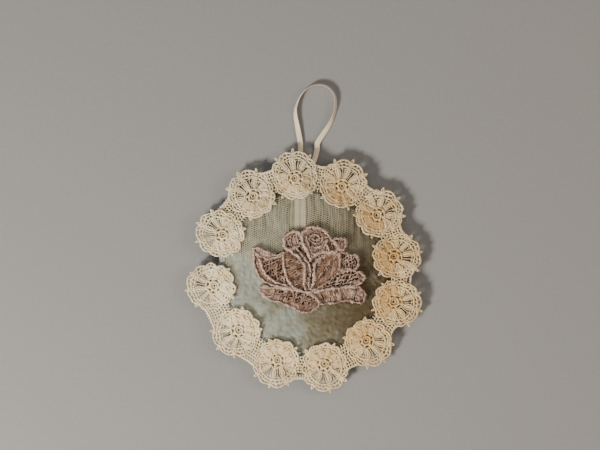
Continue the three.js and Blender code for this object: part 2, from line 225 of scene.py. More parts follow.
def sweep(
    weave: Weave,
    paths: Array,
    half_width: Array | float,
    half_height: Array | float,
    sides: int = 6,
    closed: bool = False,
    wind: Wind = Wind(),
    tone: float = 0.0,
) -> None:
    """Adds cords, bars or satin pads: an ellipse carried along each path.

    A ring's point is path + across w cos(a) + up h sin(a), with w and h times 1 + depth sin(2 pi s / pitch + a), where
    s is the length so far. Open paths are closed by a fan at each end.

    Args:
        weave: The piece that the parts go into.
        paths: Points of n paths of m stations, shaped (n, m, 3) or (m, 3).
        half_width: Half of the width, as one number or m or (n, m) numbers.
        half_height: Half of the height, likewise.
        sides: Corners round each ring.
        closed: Whether each path ends where it starts.
        wind: The thread wound round it.
        tone: The parts' share of the second colour.
    """
    paths = np.atleast_3d(paths) if paths.ndim == 3 else paths[None]
    n, m, _ = paths.shape
    across, up = directions(paths, closed)
    step = np.linalg.norm(np.diff(paths, axis=1), axis=2)
    length = np.concatenate([np.zeros((n, 1)), np.cumsum(step, axis=1)], axis=1)
    angle = np.arange(sides) * math.tau / sides
    swell = 1 + wind.depth * np.sin(math.tau * length[:, :, None] / wind.pitch + angle)
    width = np.broadcast_to(half_width, (n, m))[:, :, None] * np.cos(angle) * swell
    height = np.broadcast_to(half_height, (n, m))[:, :, None] * np.sin(angle) * swell
    rings = paths[:, :, None] + across[:, :, None] * width[..., None] + up[:, :, None] * height[..., None]
    i = np.arange(m if closed else m - 1)
    k = np.arange(sides)
    base = np.arange(n)[:, None, None] * (m * sides)
    here, there = i[None, :, None] * sides, ((i + 1) % m)[None, :, None] * sides
    a, b = k[None, None], ((k + 1) % sides)[None, None]
    quads = np.stack([base + here + a, base + there + a, base + there + b, base + here + b], axis=-1)
    full = np.concatenate([length, length[:, -1:] + step[:, :1]], axis=1) if closed else length
    girth = float(np.mean(half_width) + np.mean(half_height)) * math.pi / sides
    u0, u1 = full[:, i, None] + 0 * a, full[:, i + 1, None] + 0 * a
    v0 = (k * girth)[None, None] + 0 * u0
    uv = np.stack([np.stack(c, axis=-1) for c in ((u0, v0), (u1, v0), (u1, v0 + girth), (u0, v0 + girth))], axis=-2)
    points, tris = rings.reshape(-1, 3), np.zeros((0, 3), int)
    if not closed:
        hubs = np.concatenate([paths[:, 0], paths[:, -1]])
        first = len(points)
        points = np.concatenate([points, hubs])
        starts = np.arange(n)[:, None] * (m * sides)
        ends = starts + (m - 1) * sides
        hub = first + np.arange(n)[:, None] + 0 * k
        near = np.stack([hub, starts + k, starts + (k + 1) % sides], axis=-1)
        far = np.stack([hub + n, ends + (k + 1) % sides, ends + k], axis=-1)
        tris = np.concatenate([near.reshape(-1, 3), far.reshape(-1, 3)])
    weave.add(points, quads.reshape(-1, 4), uv.reshape(-1, 4, 2), tris, np.zeros((len(tris), 3, 2)), tone)


def patch(weave: Weave, top: Array, bottom: Array, uv: Array, wrapped: bool, tone: float = 0.0) -> None:
    """Adds a closed slab between two grids of points with the same rows and columns.

    Args:
        weave: The piece that the slab goes into.
        top: Upper surface, shaped (rows, columns, 3), rows going outwards and columns anticlockwise.
        bottom: Lower surface, likewise.
        uv: Thread coordinates of each grid point, shaped (rows, columns, 2).
        wrapped: Whether the last column joins the first.
        tone: The slab's share of the second colour.
    """
    rows, columns, _ = top.shape
    number = np.arange(rows * columns).reshape(rows, columns)
    sheet = np.concatenate([number, number[:, :1]], axis=1) if wrapped else number
    at = np.concatenate([uv, uv[:, :1]], axis=1) if wrapped else uv

    def corners(grid: Array) -> Array:
        """The four corners of each cell, outwards and then anticlockwise."""
        return np.stack([grid[:-1, :-1], grid[1:, :-1], grid[1:, 1:], grid[:-1, 1:]], axis=2)

    upper = corners(sheet).reshape(-1, 4)
    cells = corners(at).reshape(-1, 4, 2)
    lower = upper[:, ::-1] + rows * columns
    rims = [sheet[-1], sheet[0, ::-1]]
    if not wrapped:
        rims += [sheet[::-1, -1], sheet[:, 0]]
    walls = [np.stack([r[:-1], r[:-1] + rows * columns, r[1:] + rows * columns, r[1:]], axis=1) for r in rims]
    wall = np.concatenate(walls)
    quads = np.concatenate([upper, lower, wall])
    quad_uv = np.concatenate([cells, cells[:, ::-1], np.zeros((len(wall), 4, 2))])
    points = np.concatenate([top.reshape(-1, 3), bottom.reshape(-1, 3)])
    weave.add(points, quads, quad_uv, np.zeros((0, 3), int), np.zeros((0, 3, 2)), tone)


def through(points: Array, count: int, closed: bool) -> Array:
    """A smooth curve through chosen points, by Catmull-Rom cubics, spaced evenly along its length.

    Args:
        points: Chosen points, one row each.
        count: How many points to give back.
        closed: Whether the curve ends where it starts; its first point isn't repeated.

    Returns:
        The curve's points, one row each.
    """
    if closed:
        p = np.concatenate([points[-1:], points, points[:2]])
    else:
        p = np.concatenate([2 * points[:1] - points[1:2], points, 2 * points[-1:] - points[-2:-1]])
    t = np.linspace(0, 1, 12, endpoint=False)[None, :, None]
    a, b, c, d = (p[k : len(p) - 3 + k, None] for k in range(4))
    curve = 0.5 * (2 * b + (c - a) * t + (2 * a - 5 * b + 4 * c - d) * t**2 + (3 * b - a - 3 * c + d) * t**3)
    curve = np.concatenate([curve.reshape(-1, points.shape[1]), p[-2:-1]])
    along = np.concatenate([[0], np.cumsum(np.linalg.norm(np.diff(curve, axis=0), axis=1))])
    at = np.linspace(0, along[-1], count + 1)[:-1] if closed else np.linspace(0, along[-1], count)
    return np.stack([np.interp(at, along, curve[:, k]) for k in range(curve.shape[1])], axis=1)


# ---------------------------------------------------------------- finishes


class Recipe:
    """A material's node tree, with short calls that add nodes and join them."""

    def __init__(self, name: str) -> None:
        """Starts a material with only its Principled shader."""
        self.material = bpy.data.materials.new(name)
        self.material.use_nodes = True
        self.tree = self.material.node_tree
        self.shader = self.tree.nodes["Principled BSDF"]
        self.place = self.node("ShaderNodeTexCoord").outputs["Object"]

    def node(self, kind: str, inputs: dict[str | int, object] | None = None, **settings: object) -> bpy.types.Node:
        """Adds a node.

        Args:
            kind: The node's type.
            inputs: A value or a socket for each input, by name or number.
            settings: The node's own settings.

        Returns:
            The new node.
        """
        made = self.tree.nodes.new(kind)
        for key, value in settings.items():
            setattr(made, key, value)
        for key, value in (inputs or {}).items():
            self.into(made.inputs[key], value)
        return made

    def into(self, socket: bpy.types.NodeSocket, value: object) -> None:
        """Joins a socket to another, or sets its value."""
        if isinstance(value, bpy.types.NodeSocket):
            self.tree.links.new(value, socket)
        else:
            socket.default_value = value

    def thread(self) -> bpy.types.NodeSocket:
        """The piece's own thread coordinates, in millimetres along and round its cords."""
        return self.node("ShaderNodeUVMap", uv_map="thread").outputs["UV"]

    def tone(self) -> bpy.types.NodeSocket:
        """The share of the second colour that each part of the piece was given."""
        return self.node("ShaderNodeAttribute", attribute_name="tone").outputs["Fac"]

    def noise(self, size: float, detail: float = 3.0, rough: float = 0.55) -> bpy.types.NodeSocket:
        """Noise with features of about `size` millimetres, from 0 to 1."""
        made = self.node("ShaderNodeTexNoise", {"Vector": self.place, "Scale": 1 / (size * MM), "Detail": detail})
        made.inputs["Roughness"].default_value = rough
        return made.outputs["Fac"]

    def ramp(self, value: bpy.types.NodeSocket, low: float, high: float, bottom: float = 0.0, top: float = 1.0) -> bpy.types.NodeSocket:
        """Maps low..high to bottom..top, and clamps."""
        given = {"Value": value, 1: low, 2: high, 3: bottom, 4: top}
        return self.node("ShaderNodeMapRange", given).outputs["Result"]

    def math(self, operation: str, a: object, b: object) -> bpy.types.NodeSocket:
        """One sum on two values."""
        return self.node("ShaderNodeMath", {0: a, 1: b}, operation=operation).outputs[0]

    def mix(self, share: object, a: object, b: object, how: str = "MIX") -> bpy.types.NodeSocket:
        """Mixes two colours, given as sockets or as red, green and blue."""
        made = self.node("ShaderNodeMix", {0: share}, data_type="RGBA", blend_type=how)
        for socket, value in ((made.inputs[6], a), (made.inputs[7], b)):
            self.into(socket, (*value, 1.0) if isinstance(value, tuple) else value)
        return made.outputs[2]

    def bump(self, height: bpy.types.NodeSocket, depth: float, before: bpy.types.NodeSocket | None = None) -> bpy.types.NodeSocket:
        """Bump of `depth` millimetres, over an earlier one if given."""
        made = self.node("ShaderNodeBump", {"Height": height, "Strength": 1.0, "Distance": depth * MM})
        if before is not None:
            self.into(made.inputs["Normal"], before)
        return made.outputs["Normal"]

    def finish(self, colour: object, roughness: object, normal: bpy.types.NodeSocket, sheen: float, tint: Colour) -> bpy.types.Material:
        """Joins colour, roughness and bump to the shader, with a cloth sheen.

        Args:
            colour: Socket with the colour.
            roughness: Socket with the roughness.
            normal: Socket with the bumped normal.
            sheen: Weight of the sheen.
            tint: Its colour.

        Returns:
            The finished material.
        """
        self.into(self.shader.inputs["Base Color"], colour)
        self.into(self.shader.inputs["Roughness"], roughness)
        self.into(self.shader.inputs["Normal"], normal)
        self.shader.inputs["Sheen Weight"].default_value = sheen
        self.shader.inputs["Sheen Roughness"].default_value = 0.4
        self.shader.inputs["Sheen Tint"].default_value = (*tint, 1.0)
        self.shader.inputs["Specular IOR Level"].default_value = 0.3
        return self.material


@dataclass(frozen=True)
class ThreadFinish:
    """Twisted or satin-stitched thread: fine diagonal strands with painted shade in the grooves between them, painted
    shade from ambient occlusion in hollows and under neighbouring parts, and two tones.
    """

    name: str
    light: Colour
    dark: Colour
    second: Colour
    strand: float = 0.32
    depth: float = 0.07
    rough: float = 0.72
    sheen: float = 0.25
    # reach is how far the painted occlusion shade looks; the next two set how dark the painted occlusion shade and the
    # painted groove shade are.
    reach: float = 1.2
    occlusion_shade: float = 0.55
    groove_shade: float = 0.72

    def make(self) -> bpy.types.Material:
        """Builds the material."""
        r = Recipe(self.name)
        strands = r.node(
            "ShaderNodeTexWave",
            {"Vector": r.thread(), "Scale": math.tau / (10 * self.strand), "Distortion": 1.2, "Detail": 2.0, "Detail Scale": 2.0},
            bands_direction="DIAGONAL",
        ).outputs["Fac"]
        aged = r.mix(r.ramp(r.noise(9.0), 0.35, 0.7), self.light, self.dark)
        toned = r.mix(r.tone(), aged, self.second)
        flecks = r.ramp(r.noise(0.7, 4.0), 0.25, 0.75, 0.82, 1.08)
        # Painted shade: the colour is darkened in the grooves between the strands.
        groove_shading = r.ramp(strands, 0.0, 0.6, self.groove_shade, 1.0)
        shade = r.math("MULTIPLY", flecks, groove_shading)
        # Painted shade: ambient occlusion darkens the colour in hollows and under neighbouring threads, within reach
        # millimetres.
        occluded = r.node("ShaderNodeAmbientOcclusion", {"Distance": self.reach * MM}, samples=6).outputs["AO"]
        shade = r.math("MULTIPLY", shade, r.ramp(occluded, 0.2, 0.9, 1 - self.occlusion_shade, 1.0))
        colour = r.mix(1.0, toned, r.node("ShaderNodeCombineColor", {0: shade, 1: shade, 2: shade}).outputs[0], "MULTIPLY")
        normal = r.bump(r.noise(0.35, 3.0), self.depth * 0.6, r.bump(strands, self.depth))
        rough = r.ramp(r.noise(1.6), 0.3, 0.7, self.rough - 0.1, self.rough + 0.12)
        return r.finish(colour, rough, normal, self.sheen, self.light)


@dataclass(frozen=True)
class ClothFinish:
    """Woven cloth, worn in patches: a base colour, a paler cool left side and a darker warm right side, each partly the
    cloth's own colour and partly painted light and shade, and a fine plain weave.
    """

    name: str
    base: Colour
    cool: Colour
    warm: Colour
    low: Colour
    thread: float = 0.42
    nap: float = 0.09
    patchy: float = 0.36
    crush: float = 0.45

    def make(self) -> bpy.types.Material:
        """Builds the material."""
        r = Recipe(self.name)
        axis = r.node("ShaderNodeSeparateXYZ", {"Vector": r.place}).outputs
        # Paler and bluer to the left, darker and browner to the right: partly the cloth's own stain, partly painted
        # light from the left and painted shade on the right. The noise wobbles where the sides begin.
        side_wobble = r.ramp(r.noise(26.0, 4.0), 0.3, 0.7, -18 * MM, 18 * MM)
        x = r.math("ADD", axis["X"], side_wobble)
        y = r.math("ADD", axis["Y"], side_wobble)
        right = r.ramp(x, 10 * MM, 44 * MM)
        left = r.ramp(r.math("ADD", x, r.math("MULTIPLY", y, 0.8)), -14 * MM, -40 * MM)
        lower = r.ramp(y, -4 * MM, -40 * MM)
        colour = r.mix(left, r.mix(r.math("MULTIPLY", lower, 0.7), self.base, self.low), self.cool)
        colour = r.mix(right, colour, self.warm)
        patches = r.noise(8.0, 5.0, 0.65)
        colour = r.mix(r.ramp(patches, 0.52, 0.72, 0.0, self.patchy), colour, self.warm)
        colour = r.mix(r.ramp(patches, 0.46, 0.3, 0.0, self.patchy), colour, self.cool)
        upright = r.node("ShaderNodeCombineXYZ", {0: axis["X"], 1: r.math("MULTIPLY", axis["Y"], 0.25), 2: 0.0}).outputs[0]
        across = r.node("ShaderNodeCombineXYZ", {0: r.math("MULTIPLY", axis["X"], 0.25), 1: axis["Y"], 2: 0.0}).outputs[0]
        grain = {"Scale": 420.0, "Detail": 4.0, "Roughness": 0.55}
        down, along = (r.node("ShaderNodeTexNoise", {"Vector": v, **grain}).outputs["Fac"] for v in (upright, across))
        streaks = r.math("MULTIPLY", r.math("ADD", down, along), 0.5)
        crushed = r.math("MULTIPLY", r.ramp(streaks, 0.38, 0.62, 1.2 - self.crush, 0.9 + self.crush), r.ramp(r.noise(3.4, 6.0, 0.75), 0.36, 0.66, 0.7, 1.2))
        grey = r.node("ShaderNodeCombineColor", {0: crushed, 1: crushed, 2: crushed}).outputs[0]
        colour = r.mix(1.0, colour, grey, "MULTIPLY")
        scale = math.tau / (20 * self.thread * MM)
        wave = {"Vector": r.place, "Scale": scale, "Distortion": 1.5, "Detail": 2.0, "Detail Scale": 1.5}
        warp = r.node("ShaderNodeTexWave", wave, bands_direction="X").outputs["Fac"]
        weft = r.node("ShaderNodeTexWave", wave, bands_direction="Y").outputs["Fac"]
        weave = r.math("MULTIPLY", warp, weft)
        # Painted shade: the colour is darkened in the gaps between the threads of the weave.
        colour = r.mix(r.ramp(weave, 0.0, 0.5, 0.35, 0.0), colour, (0.05, 0.045, 0.03))
        normal = r.bump(r.noise(0.5, 4.0), self.nap, r.bump(weave, self.nap))
        rough = r.ramp(r.noise(2.0), 0.3, 0.7, 0.78, 0.95)
        return r.finish(colour, rough, normal, 0.12, self.cool)


@dataclass(frozen=True)
class SatinFinish:
    """Satin ribbon: fine lengthwise floats that catch the light, with a cross rib; their light and dark streaks are
    also painted into the colour as sheen.
    """

    name: str
    light: Colour
    dark: Colour

    def make(self) -> bpy.types.Material:
        """Builds the material."""
        r = Recipe(self.name)
        split = r.node("ShaderNodeSeparateXYZ", {"Vector": r.thread()}).outputs
        stretched = r.node("ShaderNodeCombineXYZ", {0: r.math("MULTIPLY", split["X"], 0.05), 1: r.math("MULTIPLY", split["Y"], 4.0), 2: 0.0})
        floats_and_sheen = r.node("ShaderNodeTexNoise", {"Vector": stretched.outputs[0], "Scale": 2.0, "Detail": 4.0}).outputs["Fac"]
        ribs = r.node("ShaderNodeTexWave", {"Vector": r.thread(), "Scale": math.tau / (20 * 0.3)}, bands_direction="X").outputs["Fac"]
        # Painted sheen: light and dark lengthwise streaks in the colour.
        colour = r.mix(r.ramp(floats_and_sheen, 0.35, 0.7), self.dark, self.light)
        colour = r.mix(r.ramp(r.noise(14.0), 0.35, 0.75, 0.0, 0.5), colour, self.dark)
        normal = r.bump(ribs, 0.02, r.bump(floats_and_sheen, 0.03))
        rough = r.ramp(floats_and_sheen, 0.3, 0.7, 0.3, 0.42)
        made = r.finish(colour, rough, normal, 0.4, self.light)
        r.shader.inputs["Specular IOR Level"].default_value = 0.6
        return made


class Finish(Enum):
    """The finishes that the pieces take, each built once."""

    LACE = ThreadFinish("ecru_guipure_thread", (0.90, 0.78, 0.52), (0.76, 0.60, 0.34), (0.72, 0.42, 0.14), sheen=0.1, occlusion_shade=0.45)
    ROSE = ThreadFinish(
        "rose_embroidery_thread", (0.29, 0.155, 0.088), (0.125, 0.062, 0.037), (0.81, 0.58, 0.45),
        0.42, 0.1, 0.65, 0.15, 1.3, 0.7, 0.62,
    )  # fmt: skip
    # Painted shade: the dark sheet under the rose, where its holes would show only shadow.
    ROSE_GROUND = ThreadFinish("rose_painted_shade", (0.05, 0.026, 0.018), (0.028, 0.015, 0.010), (0.09, 0.05, 0.035), 0.5, 0.08, 0.85, 0.05)
    TULLE = ThreadFinish("tulle_net_yarn", (0.66, 0.62, 0.45), (0.52, 0.48, 0.33), (0.13, 0.105, 0.055), 0.3, 0.03, 0.7, 0.15, 0.6, 0.2)
    THREAD = ThreadFinish("sewing_thread", (0.74, 0.62, 0.43), (0.58, 0.45, 0.28), (0.5, 0.36, 0.2), 0.25, 0.04, 0.55, 0.2)
    WADDING = ThreadFinish("wadding_fibre", (0.85, 0.83, 0.78), (0.7, 0.68, 0.62), (0.6, 0.58, 0.5), 0.8, 0.2, 0.9, 0.5)
    FACE = ClothFinish("face_cloth", (0.215, 0.20, 0.125), (0.45, 0.50, 0.44), (0.15, 0.09, 0.037), (0.33, 0.285, 0.18))
    BACK = ClothFinish("back_cloth", (0.33, 0.325, 0.235), (0.34, 0.36, 0.30), (0.24, 0.20, 0.13), (0.26, 0.25, 0.17), patchy=0.3, crush=0.35)
    RIBBON = SatinFinish("ecru_satin", (0.82, 0.70, 0.52), (0.62, 0.48, 0.31))

    def material(self) -> bpy.types.Material:
        """The finish's material, built when it is first asked for."""
        return bpy.data.materials.get(self.value.name) or self.value.make()


def settle(piece: bpy.types.Object, body: str, slot: str, *nodes: str) -> bpy.types.Object:
    """Puts a finished piece on its body, hides the CAD nodes that it stands for, and logs it.

    Args:
        piece: The piece.
        body: The CAD body that it rides on.
        slot: The record's material slot, not used.
        nodes: CAD nodes that it replaces.

    Returns:
        The same piece.
    """
    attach(piece, body)
    if nodes:
        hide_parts(*nodes)
    log.info("%s: %d vertices, on %s", piece.name, len(piece.data.vertices), body)
    return piece


# ---------------------------------------------------------------- pillow


@dataclass
class PillowBody:
    """The stuffed casing: a domed face and a dished back, sewn together round the rim, with wadding inside."""

    fullness: float = 0.6
    columns: int = 144
    rows: int = 30
    gathers: int = 46
    puff: float = 0.5

    def __post_init__(self) -> None:
        """Reads the casing's radius and heights from the frame."""
        low, high = (np.array(c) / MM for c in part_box("front_panel"))
        self.radius = float(high[0])
        self.rim_z = float(low[2])
        self.crown_z = float(high[2])
        self.back_rim_z = float(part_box("back_panel")[1][2] / MM)
        tulle_low, tulle_high = (np.array(c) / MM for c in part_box("tulle_overlay"))
        self.tulle_radius = float(tulle_high[0])
        self.tulle_lift = float(tulle_high[2] - high[2])

    def face_z(self, r: Array) -> Array:
        """Height of the face: rim + rise (1 - (r/R)^2)^fullness."""
        inside = np.clip(1 - (r / self.radius) ** 2, 0, None)
        return self.rim_z + (self.crown_z - self.rim_z) * inside**self.fullness

    def back_z(self, r: Array) -> Array:
        """Height of the back: flat on the surface, then a parabola up to the rim."""
        flat = float(self.radius) * 0.74
        up = np.clip((r - flat) / (self.radius - flat), 0, None)
        return self.back_rim_z * up**2

    def crease(self, x: Array, y: Array, start: tuple[float, float], end: tuple[float, float], width: float) -> Array:
        """A valley of gaussian section along a line, fading at its ends."""
        a, b = np.array(start), np.array(end)
        ahead = (b - a) / np.linalg.norm(b - a)
        along = (x - a[0]) * ahead[0] + (y - a[1]) * ahead[1]
        off = (x - a[0]) * -ahead[1] + (y - a[1]) * ahead[0]
        length = np.linalg.norm(b - a)
        return np.exp(-((off / width) ** 2)) * smooth(-4, 3, along) * smooth(-4, 3, length - along)

    def wrinkles(self, x: Array, y: Array) -> Array:
        """Height that gathers, soft folds and creases add to the face, in millimetres.

        Gathers are cos(n angle) ripples that die away inwards from the rim. Folds run up from the rose."""
        r, angle = np.hypot(x, y), np.arctan2(y, x)
        ripple = np.cos(self.gathers * angle + 2.2 * soft_noise(x, y, 40, 3))
        lift = 0.3 * ripple * smooth(0.66 * self.radius, 0.97 * self.radius, r)
        pleats = np.cos(math.tau * x / 5.2 + 1.5 * soft_noise(x, y, 30, 5))
        over_tails = np.exp(-(((x + 0.8) / 6) ** 4)) * smooth(14, 22, y)
        lift += 0.55 * pleats * smooth(8, 28, y) * (1 - 0.85 * over_tails)
        lift -= 0.75 * self.crease(x, y, (-35.6, -19.4), (-28, -26), 1.2)
        lift -= 0.6 * self.crease(x, y, (-34, 6), (-31, -8), 1.6)
        lift -= 0.55 * self.crease(x, y, (30, 22), (38, 6), 1.8)
        lift -= 0.5 * self.crease(x, y, (8, -29), (22, -26), 1.6)
        lift -= 0.6 * self.crease(x, y, (-38, 16), (-35, -10), 1.3)
        lift -= 0.45 * self.crease(x, y, (-22, -22), (-12, -30), 1.3)
        crumple = 1 - np.abs(soft_noise(x, y, 7, 11))
        return lift + (0.36 * crumple + 0.1 * soft_noise(x, y, 3.6, 12)) * (1 - 0.75 * smooth(0, 22, y)) * (1 - 0.8 * over_tails)

    def casing(self) -> bpy.types.Object:
        """The casing as one closed bag, a little slack, before it is stuffed.

        Rings of radius R sin(t pi / 2) go out over the face and back in under it."""
        share = np.sin(np.linspace(0, 1, self.rows + 1)[1:] * math.pi / 2)
        angle = np.arange(self.columns) * math.tau / self.columns
        over = [(self.radius * s - 0.3) for s in share]
        r = np.array(over + over[-2::-1])
        face = np.arange(len(r)) < self.rows
        x, y = r[:, None] * np.cos(angle), r[:, None] * np.sin(angle)
        z = np.where(face, self.face_z(r) - 0.5, self.back_z(r) + 0.05)[:, None] + 0 * x
        rings = np.stack([x, y, z], axis=-1).reshape(-1, 3)
        poles = np.array([[0, 0, self.crown_z - 0.5], [0, 0, 0.05]])
        number = np.arange(len(rings)).reshape(len(r), self.columns)
        turned = np.roll(number, -1, axis=1)
        quads = np.stack([number[:-1], number[1:], turned[1:], turned[:-1]], axis=-1).reshape(-1, 4)
        top, under = len(rings), len(rings) + 1
        caps = [(top, int(a), int(b)) for a, b in zip(number[0], turned[0])]
        caps += [(under, int(b), int(a)) for a, b in zip(number[-1], turned[-1])]
        mesh = bpy.data.meshes.new("casing")
        mesh.from_pydata((np.concatenate([rings, poles]) * MM).tolist(), [], quads.tolist() + caps)
        piece = bpy.data.objects.new("casing", mesh)
        bpy.context.collection.objects.link(piece)
        return piece

    def stuff(self, piece: bpy.types.Object) -> Array:
        """Stuffs the bag by cloth simulation under pressure, pinned at the rim.

        Args:
            piece: The bag.

        Returns:
            Its vertices after the simulation, in millimetres.
        """
        mesh = piece.data
        start = np.empty(len(mesh.vertices) * 3)
        mesh.vertices.foreach_get("co", start)
        start = start.reshape(-1, 3)
        rim = np.nonzero(np.hypot(start[:, 0], start[:, 1]) > (self.radius - 0.6) * MM)[0]
        group = piece.vertex_groups.new(name="rim")
        group.add(rim.tolist(), 1.0, "REPLACE")
        cloth = piece.modifiers.new("stuffing", "CLOTH")
        cloth.settings.quality = 6
        cloth.settings.mass = 0.15
        cloth.settings.tension_stiffness = 12
        cloth.settings.bending_stiffness = 0.4
        cloth.settings.use_pressure = True
        cloth.settings.uniform_pressure_force = 4
        cloth.settings.shrink_min = -0.03
        cloth.settings.vertex_group_mass = "rim"
        cloth.settings.effector_weights.gravity = 0
        scene = bpy.context.scene
        for step in range(1, 21):
            scene.frame_set(step)
        solved = piece.evaluated_get(bpy.context.evaluated_depsgraph_get()).to_mesh()
        moved = np.empty(len(solved.vertices) * 3)
        solved.vertices.foreach_get("co", moved)
        piece.modifiers.clear()
        scene.frame_set(1)
        shift = np.clip((moved.reshape(-1, 3) - start) / MM, -0.55, 0.55)
        log.info("stuffing moved the casing by up to %.2f mm", float(np.abs(shift).max()))
        return start / MM + shift * self.puff

    def build(self) -> None:
        """Makes the face, the back, the rim's seam and the wadding."""
        bag = self.casing()
        solved = self.stuff(bag)
        bpy.data.objects.remove(bag)
        rings = solved[:-2].reshape(-1, self.columns, 3)
        self.panel(Finish.FACE, "front_cloth", rings[: self.rows], solved[-2], True)
        self.panel(Finish.BACK, "back_cloth", rings[self.rows - 1 :][::-1], solved[-1], False)
        self.seam()
        self.wadding()

    def panel(self, finish: Finish, name: str, rings: Array, pole: Array, is_face: bool) -> None:
        """One panel of cloth, from rings that grow outwards: finer than the bag, with its wrinkles, 0.35 mm thick.

        Args:
            finish: Its finish.
            name: Its name.
            rings: The stuffed bag's rings, shaped (rings, columns, 3).
            pole: The bag's point on the axis.
            is_face: Whether it is the face, which is gathered and creased.
        """
        rings = np.concatenate([np.broadcast_to(pole, (1, self.columns, 3)), rings])
        fine_rows, fine_columns = 96, self.columns * 3
        at = np.linspace(0, len(rings) - 1, fine_rows)
        whole = np.clip(at.astype(int), 0, len(rings) - 2)
        part = (at - whole)[:, None, None]
        grown = rings[whole] * (1 - part) + rings[whole + 1] * part
        wrapped = np.concatenate([grown, grown[:, :1]], axis=1)
        turn = np.arange(fine_columns) / 3
        cell = turn.astype(int)
        part = (turn - cell)[None, :, None]
        top = wrapped[:, cell] * (1 - part) + wrapped[:, cell + 1] * part
        x, y = top[..., 0], top[..., 1]
        r = np.hypot(x, y)
        if is_face:
            height = self.face_z(r) - 0.25 + np.clip(top[..., 2] - self.face_z(r) + 0.5, -0.3, 0.3)
            top[..., 2] = height + self.wrinkles(x, y) * smooth(self.radius, self.radius - 2, r)
        else:
            ripple = np.cos(self.gathers * np.arctan2(y, x) + 2.0 * soft_noise(x, y, 40, 8))
            lift = 0.25 * ripple * smooth(0.76 * self.radius, 0.97 * self.radius, r)
            top[..., 2] = np.maximum(self.back_z(r) + lift + 0.1 * soft_noise(x, y, 12, 2), 0.0)
        inner = top * [0.992, 0.992, 1] - [0, 0, 0.35 if is_face else -0.35]
        uv = np.stack([x, y], axis=-1)
        weave = Weave()
        if is_face:
            patch(weave, top[1:], inner[1:], uv[1:], True)
        else:
            patch(weave, inner[1:], top[1:], uv[1:], True)
        piece = weave.build(name, finish.material())
        self.close_pole(piece, fine_columns, fine_rows - 1)
        node = "front_panel" if is_face else "back_panel"
        settle(piece, PILLOW, "face_fabric" if is_face else "back_fabric", node)

    def close_pole(self, piece: bpy.types.Object, columns: int, rows: int) -> None:
        """Fills the two small rings left at the middle of a panel, on its upper and lower side."""
        import bmesh

        work = bmesh.new()
        work.from_mesh(piece.data)
        work.verts.ensure_lookup_table()
        removed = [f for f in work.faces if all(v.index % (rows * columns) < columns for v in f.verts)]
        bmesh.ops.delete(work, geom=removed, context="FACES_ONLY")
        work.verts.ensure_lookup_table()
        for base, flip in ((0, False), (rows * columns, True)):
            ring = [work.verts[base + k] for k in range(columns)]
            face = work.faces.new(ring[::-1] if flip else ring)
            face.smooth = True
        work.to_mesh(piece.data)
        work.free()

    def seam(self) -> None:
        """The rim's seam: a corded edge and the overcast stitches that close it."""
        low, high = (np.array(c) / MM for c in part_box("rim_seam"))
        middle = (low[2] + high[2]) / 2
        weave = Weave()
        turn = np.arange(1400) * math.tau / 1400
        r = self.radius - 0.45 + 0.12 * np.sin(37 * turn)
        ring = np.stack([r * np.cos(turn), r * np.sin(turn), middle + 0 * turn], axis=1)
        sweep(weave, ring, 0.42, 0.46, 8, True, Wind(0.09, 0.9))
        count = 150
        start = np.arange(count)[:, None] * math.tau / count
        along = np.linspace(0, 1, 9)[None]
        angle = start + along * 0.02
        out = self.radius - 1.2 + 1.35 * np.sin(along * math.pi)
        z = middle - 0.75 + 1.6 * along
        stitches = np.stack([out * np.cos(angle), out * np.sin(angle), z + 0 * angle], axis=-1)
        sweep(weave, stitches, 0.13, 0.13, 5, tone=0.4)
        settle(weave.build("rim_seam_cord", Finish.THREAD.material()), PILLOW, "thread", "rim_seam")

    def wadding(self) -> None:
        """The pad of wadding: the inside of the casing, lumpy."""
        low, high = (np.array(c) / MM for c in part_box("stuffing"))
        reach = float(high[0]) - 0.6
        share = np.sin(np.linspace(0.03, 1, 30) * math.pi / 2)[:, None]
        angle = (np.arange(90) * math.tau / 90)[None]
        x, y = reach * share * np.cos(angle), reach * share * np.sin(angle)
        r = np.hypot(x, y)
        lumps = 0.35 * soft_noise(x, y, 8, 21) + 0.2 * soft_noise(x, y, 3, 22)
        rim = (self.rim_z + self.back_rim_z) / 2
        top = np.stack([x, y, np.maximum(self.face_z(r) - 2.7 + lumps, rim)], axis=-1)
        bottom = np.stack([x, y, np.minimum(self.back_z(r) + 1.1 - 0.4 * lumps, rim - 0.2)], axis=-1)
        weave = Weave()
        patch(weave, top, bottom, np.stack([x, y], axis=-1), True)
        piece = weave.build("wadding_pad", Finish.WADDING.material())
        self.close_pole(piece, 90, 30)
        settle(piece, PILLOW, "wadding", "stuffing")


